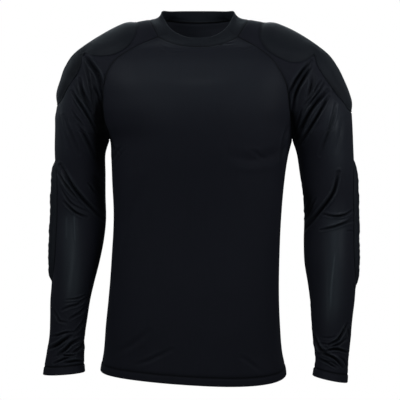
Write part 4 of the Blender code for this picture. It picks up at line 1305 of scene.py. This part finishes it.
# Heights over which the painted light on the inside of the back fades in towards the neck.
PAINTED_LIGHT_FADE = -200, -100
CLOSED_ROWS = {"sleeve_left": ring_rows, "sleeve_right": ring_rows, "collar": COLLAR_ROWS + 1}
TALL = {"front": HEM_TALL, "back": HEM_TALL, "sleeve_left": CUFF_TALL, "sleeve_right": CUFF_TALL}


def wall_of(name, grid):
    """The collar's wall, or the cloth's, thicker within the height of a turned hem and outside a crease nearby."""
    if name == "collar":
        return np.full(grid.shape[:2], COLLAR_WALL)
    above = distance_to(grid, dense(grid[0]))
    hem_share = 1 - smooth_steps(TALL[name] - HEM_SOFT, TALL[name] + HEM_SOFT, above)
    wall = CLOTH_WALL + (HEM_WALL - CLOTH_WALL) * hem_share
    depth = ((UNBENT[name] - grid) * FACING[name]).sum(axis=-1)
    deepest = depth.copy()
    wide = np.pad(depth, INSIDE_STRIDE, mode="edge")
    for down in range(2 * INSIDE_STRIDE + 1):
        for over in range(2 * INSIDE_STRIDE + 1):
            deepest = np.maximum(deepest, wide[down : down + len(depth), over : over + depth.shape[1]])
    return wall + deepest - depth


def marked(outer, inner):
    """A mark's values on a shell's points: the outer face, the inner face, and the rim like the inner face."""
    return np.concatenate([outer.reshape(-1), inner.reshape(-1), inner.reshape(-1)])


for name, key in PANEL_KEYS.items():
    grid = panels[name]
    rows, columns_ = grid.shape[:2]
    cloth = shell(
        grid.reshape(-1, 3),
        FACING[name].reshape(-1, 3),
        grid_quads(rows, columns_),
        joined(rows, columns_, CLOSED_ROWS.get(name, 0)),
        flat_places(grid),
        wall_of(name, grid),
        coarse(rows, columns_, 1 if name == "collar" else INSIDE_STRIDE),
    )
    marks = {}
    if name != "collar":
        marks = {mark: marked(found[key], 0 * found[key]) for mark, found in (("fold", painted_shades), ("tight", tight))}
    # Painted light: the inside of the back is painted paler towards the neck, where little light reaches.
    if name == "back":
        painted_light = smooth_steps(*PAINTED_LIGHT_FADE, grid[..., 2])
        marks["inner"] = marked(0 * painted_light, painted_light)
    piece = add_piece(name + "_cloth", *cloth, rib if name == "collar" else jersey, marks)
    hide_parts(name)
    "collar_knit" if name == "collar" else "compression_knit"
    area = sum(face.area for face in piece.data.polygons) / 2
    print(name, len(piece.data.polygons), "faces,", round(area, 4), "square metres")

# %% [markdown]
# ## Flat seams
#
# The panels are joined edge to edge with flat seams, so that nothing rubs under a jacket: a low band of thread
# covers each joint and sinks a little into the cloth. A texture could only paint it. A flat oval carried along each
# joint, its height waved at the pitch of the stitches, catches the light as thread does.

# %% Seam bands
BAND_SIDES = 8
BAND_HALF, BAND_HIGH, BAND_WAVE, BAND_PITCH, BAND_STEP = 1.5, 0.34, 0.14, 2.2, 0.75
BAND_TAPER, BAND_LEAST = 1.5, 0.35


def carried(line, facing, step, closed=False):
    """Every step along a line: the length so far, the place, the facing and the direction."""
    length = np.concatenate([[0], np.cumsum(np.linalg.norm(np.diff(line, axis=0), axis=1))])
    at = np.linspace(0, length[-1], max(int(round(length[-1] / step)), 3) + 1)
    both = np.concatenate([line, facing], axis=1)
    both = np.stack([np.interp(at, length, both[:, axis]) for axis in range(6)], -1)
    places = both[:, :3]
    ahead = np.gradient(places, axis=0)
    if closed:
        ahead[0] = ahead[-1] = places[1] - places[-2]
    ahead = unit(ahead)
    towards = both[:, 3:]
    towards = unit(towards - ahead * (towards * ahead).sum(axis=1, keepdims=True))
    return at, places, towards, ahead


def band(line, facing, half, high, wave, pitch, step, closed=False):
    """Ring point = place + across * half width * cos + facing * height * sin, height = high + wave * |sin|."""
    at, places, towards, ahead = carried(line, facing, step, closed)
    angle = np.linspace(0, TAU, BAND_SIDES + 1)
    across = np.cross(ahead, towards)
    tall = high + wave * np.abs(np.sin(np.pi * at / pitch))
    taper = np.ones(len(at)) if closed else np.clip(np.minimum(at, at[-1] - at) / BAND_TAPER + BAND_LEAST, 0, 1)
    rings = places[:, None] + across[:, None] * (half * taper[:, None] * np.cos(angle))[..., None]
    rings = rings + towards[:, None] * (tall[:, None] * taper[:, None] * np.sin(angle))[..., None]
    rows = len(at)
    stands = joined(rows, BAND_SIDES + 1, rows).reshape(rows, -1)
    if closed:
        stands[-1] = stands[0]
    quads = grid_quads(rows, BAND_SIDES + 1)
    faces = stands.reshape(-1)[quads]
    flat = np.stack([half * angle / 2 + 0 * at[:, None], at[:, None] + 0 * angle], -1).reshape(-1, 2) * MM
    uv = flat[quads.reshape(-1)]
    if not closed:
        cap = cap_quads(BAND_SIDES)
        last = (rows - 1) * (BAND_SIDES + 1)
        faces = np.concatenate([faces, cap[:, ::-1], cap + last])
        uv = np.concatenate([uv, flat[cap[:, ::-1].reshape(-1)], flat[(cap + last).reshape(-1)]])
    return rings.reshape(-1, 3), faces, uv


def joint(one, one_row, one_column, other, other_row, other_column):
    """The line midway between two panels' edges, with their mean facing."""
    ends = [(one, one_row, one_column), (other, other_row, other_column)]
    line = sum(panels[name][rows, column] for name, rows, column in ends) / 2
    facing = unit(sum(FACING[name][rows, column] for name, rows, column in ends))
    return line, facing


ABOVE, RING_TOP, BELOW = slice(BODY_LOWER, None), slice(SLEEVE_RINGS, None), slice(0, BODY_LOWER + 1)
RINGS_ONLY = slice(0, ring_rows)
joints = {}
for end, column in (("front", 0), ("back", -1)):
    for name, edge in EDGES.items():
        joints[f"raglan_{end}_{name}"] = joint(end, ABOVE, edge, "sleeve_" + name, RING_TOP, column)
for name, edge in EDGES.items():
    joints["side_" + name] = joint("front", BELOW, edge, "back", BELOW, edge)
for name in SIDES:
    joints["underarm_" + name] = joint("sleeve_" + name, RINGS_ONLY, 0, "sleeve_" + name, RINGS_ONLY, 0)
top_rows = [FACING["front"][-1], FACING["sleeve_right"][-1], FACING["back"][-1][::-1], FACING["sleeve_left"][-1][::-1]]
neck_facing = np.concatenate([row[:-1] for row in top_rows] + [top_rows[-1][-1:]])
neck_facing = unit(FACING["collar"][0] + neck_facing)
joints["collar_outer"] = (panels["collar"][0], neck_facing)
joints["collar_inner"] = (panels["collar"][0] - FACING["collar"][0] * COLLAR_WALL, -FACING["collar"][0])
for name, (line, facing) in joints.items():
    around = name.startswith("collar")
    shape = band(line, facing, BAND_HALF, BAND_HIGH, BAND_WAVE, BAND_PITCH, BAND_STEP, around)
    add_piece("seam_" + name, *shape, thread)
print(len(joints), "seams")

# %% [markdown]
# ## Rows of stitches
#
# At the hem and the cuffs, rows of single stitches hold the turned edge. Each is a short thread that comes up out
# of the cloth and goes down again. The same small shape is repeated along a line in one step: six sides and four
# rings are enough, because it is only two millimetres long.

# %% Stitches
STITCH_PITCH, STITCH_HALF, STITCH_WIDE, STITCH_HIGH, STITCH_DIP = 3.2, 1.15, 0.34, 0.30, 0.28
STITCH_RINGS, STITCH_SIDES = ((-1.0, 0.45), (-0.65, 1.0), (0.65, 1.0), (1.0, 0.45)), 6
STITCH_FACES = (len(STITCH_RINGS) - 1) * STITCH_SIDES + 2 * (STITCH_SIDES // 2 - 1)


def stitches(line, facing, pitch):
    """Each ring point = place + ahead * t * half + across * r cos * width + facing * (r sin * height - dip t^2)."""
    _, places, towards, ahead = carried(line, facing, pitch)
    places, towards, ahead = places[1:-1], towards[1:-1], ahead[1:-1]
    across = np.cross(ahead, towards)
    t, r = np.array(STITCH_RINGS).T[..., None]
    angle = np.arange(STITCH_SIDES) * TAU / STITCH_SIDES
    along = STITCH_HALF * t + 0 * angle
    sideways = STITCH_WIDE * r * np.cos(angle)
    raised = STITCH_HIGH * r * np.sin(angle) - STITCH_DIP * t**2
    points = places[:, None, None]
    for way, by in ((ahead, along), (across, sideways), (towards, raised)):
        points = points + way[:, None, None] * by[..., None]
    rows = len(STITCH_RINGS)
    ring = np.arange(rows * STITCH_SIDES).reshape(rows, STITCH_SIDES)
    turned = np.roll(ring, -1, axis=1)
    sides = np.stack([ring[:-1], turned[:-1], turned[1:], ring[1:]], -1).reshape(-1, 4)
    cap = cap_quads(STITCH_SIDES)
    one = np.concatenate([sides, cap[:, ::-1], cap + ring[-1, 0]])
    faces = one + (np.arange(len(places)) * ring.size)[:, None, None]
    return points.reshape(-1, 3), faces.reshape(-1, 4)


def raised_line(name, height):
    """Where a hem's grid is this far above its edge, by interpolation down each column."""
    grid, facing = panels[name], FACING[name]
    steps = np.linalg.norm(np.diff(grid, axis=0), axis=-1)
    rise = np.concatenate([np.zeros((1, grid.shape[1])), np.cumsum(steps, axis=0)])
    low = (rise < height).sum(axis=0) - 1
    column = np.arange(grid.shape[1])
    share = ((height - rise[low, column]) / steps[low, column])[:, None]
    return grid[low, column] * (1 - share) + grid[low + 1, column] * share, facing[low, column]


HEM_ROWS, CUFF_ROWS = (14.0, 17.2), (15.0,)
for name in ("front", "back", "sleeve_left", "sleeve_right"):
    parts = []
    for height in HEM_ROWS if name in ("front", "back") else CUFF_ROWS:
        parts.append(stitches(*raised_line(name, height), STITCH_PITCH))
    starts = np.cumsum([0] + [len(points) for points, _ in parts])
    points = np.concatenate([points for points, _ in parts])
    faces = np.concatenate([faces + start for (_, faces), start in zip(parts, starts)])
    add_piece(f"hem_stitches_{name}", points, faces, None, thread)
    print(name, len(faces) // STITCH_FACES, "stitches")

# %% [markdown]
# ## The pads
#
# A pad is worked out on its sleeve: rings of points between its middle and its outline, each with the sleeve's
# facing there. Its underside rests on the cloth, and its top stands at the height that the distance to the edge
# gives.

# %% Pads
# Columns: waves along, waves round, size, start.
WAVES = ((5.3, 0, 1, 0), (9.1, 7, 0.7, 0), (0, 11, 0.5, 1))
CRUMPLE, CRUMPLE_ALONG, CRUMPLE_ROUND, CRUMPLE_SWAY, BUMPS_FADE = 0.8, 21, 6, 1.5, 15.0
RING_POWER, STITCHED_AT, STITCH_ABOVE, ELBOW_UNEVEN = 1.7, 0.55, 0.05, 0.4


def sleeve_facing(table, station, place):
    """The cross product of the surface's two directions, pointing away from the middle of the arm."""
    along = on_sleeve(table, station + NEARBY, place) - on_sleeve(table, station - NEARBY, place)
    around = on_sleeve(table, station, place + NEARBY) - on_sleeve(table, station, place - NEARBY)
    facing = unit(np.cross(around, along))
    now = sleeve_values(table, station)
    middle_z = (now["inner_z"] + now["outer_z"]) / 2 - INSIDE_DROP
    middle = np.stack([(now["inner_x"] + now["outer_x"]) / 2, now["mid_y"], middle_z], -1)
    outwards = (facing * (on_sleeve(table, station, place) - middle)).sum(axis=-1, keepdims=True)
    return facing * np.sign(outwards)


def pad_height(away, foam, round_by, end_away, end_round):
    """The border's thickness, then foam * (1 - (1 - d / r)^2) for the distance d beyond the border, with a longer
    r from the pad's two ends."""
    rise = np.clip((away - BORDER_WIDE) / round_by, 0, 1)
    rise = np.minimum(rise, np.clip((end_away - BORDER_WIDE) / end_round, 0, 1))
    return BORDER_THICK + foam * (1 - (1 - rise) ** 2)


def add_pad(name, table, outline, middle, foam, round_by, end_round, uneven, shaded=()):
    """Rings from the middle to the outline, raised off the sleeve by the pad's height and a few uneven waves, with
    a row of stitches round the border and a mark for painted shade where it is shaded."""
    ring = 1 - (1 - INMOST) * (1 - np.linspace(0, 1, PAD_RINGS)) ** RING_POWER
    outline = np.concatenate([outline, outline[:1]])
    places = middle + (outline - middle) * ring[:, None, None]
    station, place = places[..., 0], places[..., 1]
    ground = on_sleeve(table, station, place)
    facing = sleeve_facing(table, station, place)
    away = distance_to(ground, dense(ground[-1], 1.0))
    bumps = sum(size * np.sin(station * along + place * around + start) for along, around, size, start in WAVES)
    sway = CRUMPLE_SWAY * np.sin(place * CRUMPLE_ROUND + station)
    bumps = bumps + CRUMPLE * np.sin(station * CRUMPLE_ALONG + sway)
    low, high = outline[:, 0].min(), outline[:, 0].max()
    end_away = np.minimum(station - low, high - station) * STATION_LENGTH
    inside_border = smooth_steps(BORDER_WIDE, BORDER_WIDE + BUMPS_FADE, away)
    tall = pad_height(away, foam, round_by, end_away, end_round) + uneven * bumps * inside_border
    top = ground + facing * (PAD_LIFT + tall)[..., None]
    spread = np.linalg.norm(np.diff(np.concatenate([top[:1] * 0 + top[0].mean(axis=0), top]), axis=0), axis=-1)
    length = np.cumsum(spread, axis=0)
    way = places[-1] - middle
    way = unit(way * (STATION_LENGTH, REACH_LENGTH))[:, ::-1]
    flat = (length[..., None] * way).reshape(-1, 2) * MM
    stands = joined(PAD_RINGS, SPOKES + 1, PAD_RINGS)
    cells = np.concatenate([grid_quads(PAD_RINGS, SPOKES + 1), cap_quads(SPOKES)[:, ::-1]])
    inside = (cells, np.arange(stands.size))
    cover = shell(top.reshape(-1, 3), facing.reshape(-1, 3), cells, stands, flat, tall + PAD_SUNK, inside)
    # Painted shade where little light reaches the pad.
    shade = np.minimum(patches(ground, facing, shaded), 1)
    piece = add_piece(name + "_cushion", *cover, pad_knit, {"fold": marked(shade, 0 * shade)})
    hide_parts(name)
    edge_in = unit(ground[-4] - ground[-1]) * BORDER_WIDE * STITCHED_AT
    line = ground[-1] + edge_in + facing[-1] * (PAD_LIFT + BORDER_THICK + STITCH_ABOVE)
    row = stitches(line, facing[-1], STITCH_PITCH)
    add_piece(name + "_stitches", *row, None, thread)
    print(name, "stands", round(float(tall.max()), 1), "mm off the sleeve")


for name in SIDES:
    table, outline, (station, share) = SLEEVES[name], shoulder_outline(name), SHOULDER_MIDDLE[name]
    middle = np.array((station, share**0.5))
    heights = SHOULDER_FOAM, SHOULDER_ROUND, 1.0, 0.0
    add_pad(f"shoulder_pad_{name}", table, outline, middle, *heights, PAD_SHADED[name])
    outline = elbow_outline(name)
    heights = ELBOW_FOAM, ELBOW_ROUND, ELBOW_END_ROUND[name], ELBOW_UNEVEN
    add_pad(f"elbow_pad_{name}", table, outline, outline.mean(axis=0), *heights)

# %% [markdown]
# ## The cloth's own sizes
#
# Each panel's flat piece is listed with the size it was cut from. The shirt is smaller than the body, so the
# cloth is stretched when it is worn.

# %% Cut sizes
# Columns: width and length in metres, area in square metres.
CUTS = {
    "front": (0.53, 0.66, 0.245),
    "back": (0.53, 0.70, 0.248),
    "sleeve_left": (0.42, 0.72, 0.180),
    "sleeve_right": (0.42, 0.72, 0.190),
    "collar": (0.48, 0.027, 0.0129),
}
for name, (wide, long, area) in CUTS.items():
    made[name + "_cloth"]
print(CUTS)

# %% [markdown]
# ## Floor, air and light
#
# The shirt was photographed on white, under large soft lights from the front. Real softboxes are area lights, so
# area lights stand in for them here: their size makes the shadows soft and gives the cloth its broad, dull shine.
# Others above and behind draw the shoulders' edges and light the hidden side a little.
# The surroundings are white to the camera and dim to the cloth, as in a studio with a lit backdrop far behind.

# %% Floor and surroundings
FLOOR_HEIGHT, FLOOR_INMOST, FLOOR_RADIUS, FLOOR_RINGS, FLOOR_SPOKES = -1550.0, 20.0, 3000.0, 12, 96
FLOOR_DARK, FLOOR_LIGHT = (0.60, 0.60, 0.60, 1), (0.66, 0.66, 0.66, 1)
angle = np.arange(FLOOR_SPOKES + 1) * TAU / FLOOR_SPOKES
reach = np.linspace(FLOOR_INMOST, FLOOR_RADIUS, FLOOR_RINGS)[:, None]
disc = np.stack([reach * np.cos(angle), reach * np.sin(angle), 0 * reach * angle + FLOOR_HEIGHT], -1)
pale = Finish("pale_floor", Roughness=0.7)
speck = pale.noise(3.0)
pale_floor = pale.use(pale.mix(speck, FLOOR_DARK, FLOOR_LIGHT), speck * 0.1 + 0.6, speck * 0.05)
stands = joined(FLOOR_RINGS, FLOOR_SPOKES + 1, FLOOR_RINGS)
cells = np.concatenate([stands[grid_quads(FLOOR_RINGS, FLOOR_SPOKES + 1)][:, ::-1], cap_quads(FLOOR_SPOKES)])
mesh = bpy.data.meshes.new("floor")
mesh.from_pydata((disc.reshape(-1, 3) * MM).tolist(), [], cells.tolist())
mesh.materials.append(pale_floor)
floor = bpy.data.objects.new("floor", mesh)
bpy.context.scene.collection.objects.link(floor)

BACKDROP, AIR = 1.0, 0.03
world = bpy.data.worlds.new("studio")
bpy.context.scene.world = world
world.use_nodes = True
tree = world.node_tree
path = tree.nodes.new("ShaderNodeLightPath")
share = tree.nodes.new("ShaderNodeMix")
share.inputs[2].default_value, share.inputs[3].default_value = AIR, BACKDROP
tree.links.new(path.outputs["Is Camera Ray"], share.inputs[0])
tree.links.new(share.outputs[0], tree.nodes["Background"].inputs["Strength"])
tree.nodes["Background"].inputs["Color"].default_value = (1, 1, 1, 1)
bpy.context.scene.view_settings.view_transform = "Standard"
print("surroundings", AIR, "to the cloth and", BACKDROP, "to the camera")

# %% Lights
DAY, SKY, STRIP = (0.86, 0.93, 1.0), (0.80, 0.92, 1.0), (0.80, 0.93, 1.0)
# Columns: name, place, target, width and height, power, colour.
LIGHTS = (
    ("high_left", (-900, -700, 480), (0, 0, -250), (500, 700), 3.4, DAY),
    ("near_right", (800, -450, 50), (100, 0, -250), (300, 700), 1.8, DAY),
    ("rim_left", (-900, 600, 300), (-150, 0, -250), (400, 1000), 0.9, SKY),
    ("rim_right", (900, 600, 300), (150, 0, -250), (400, 1000), 0.4, SKY),
    ("back_top", (0, 900, 1000), (0, 0, -50), (1400, 500), 3.8, SKY),
    ("behind", (0, 2300, 1200), (0, 0, -250), (1800, 400), 7.0, DAY),
    ("chest", (0, -700, 600), (0, 0, -100), (900, 300), 0.4, DAY),
    ("front_high", (0, -2200, 1500), (0, 0, -60), (500, 400), 3.6, DAY),
    ("strip_left", (-750, -2200, -250), (-150, 0, -350), (150, 1300), 2.2, STRIP),
    ("strip_right", (750, -2200, -250), (150, 0, -350), (150, 1300), 0.8, STRIP),
)


def add_light(name, place, target, size, power, colour):
    """An area light at a place that looks at a target: its -z axis along the way between them."""
    light = bpy.data.lights.new(name, "AREA")
    light.shape = "RECTANGLE"
    light.size, light.size_y = size[0] * MM, size[1] * MM
    light.energy, light.color = power, colour
    lamp = bpy.data.objects.new(name, light)
    back = unit(np.array(place, float) - target)
    right = unit(np.cross((0, 0, 1), back))
    turn = np.eye(4)
    turn[:3, 0], turn[:3, 1], turn[:3, 2] = right, np.cross(back, right), back
    turn[:3, 3] = np.array(place) * MM
    lamp.matrix_world = turn.T.tolist()
    bpy.context.scene.collection.objects.link(lamp)


for row in LIGHTS:
    add_light(*row)
print(len(LIGHTS), "lights")
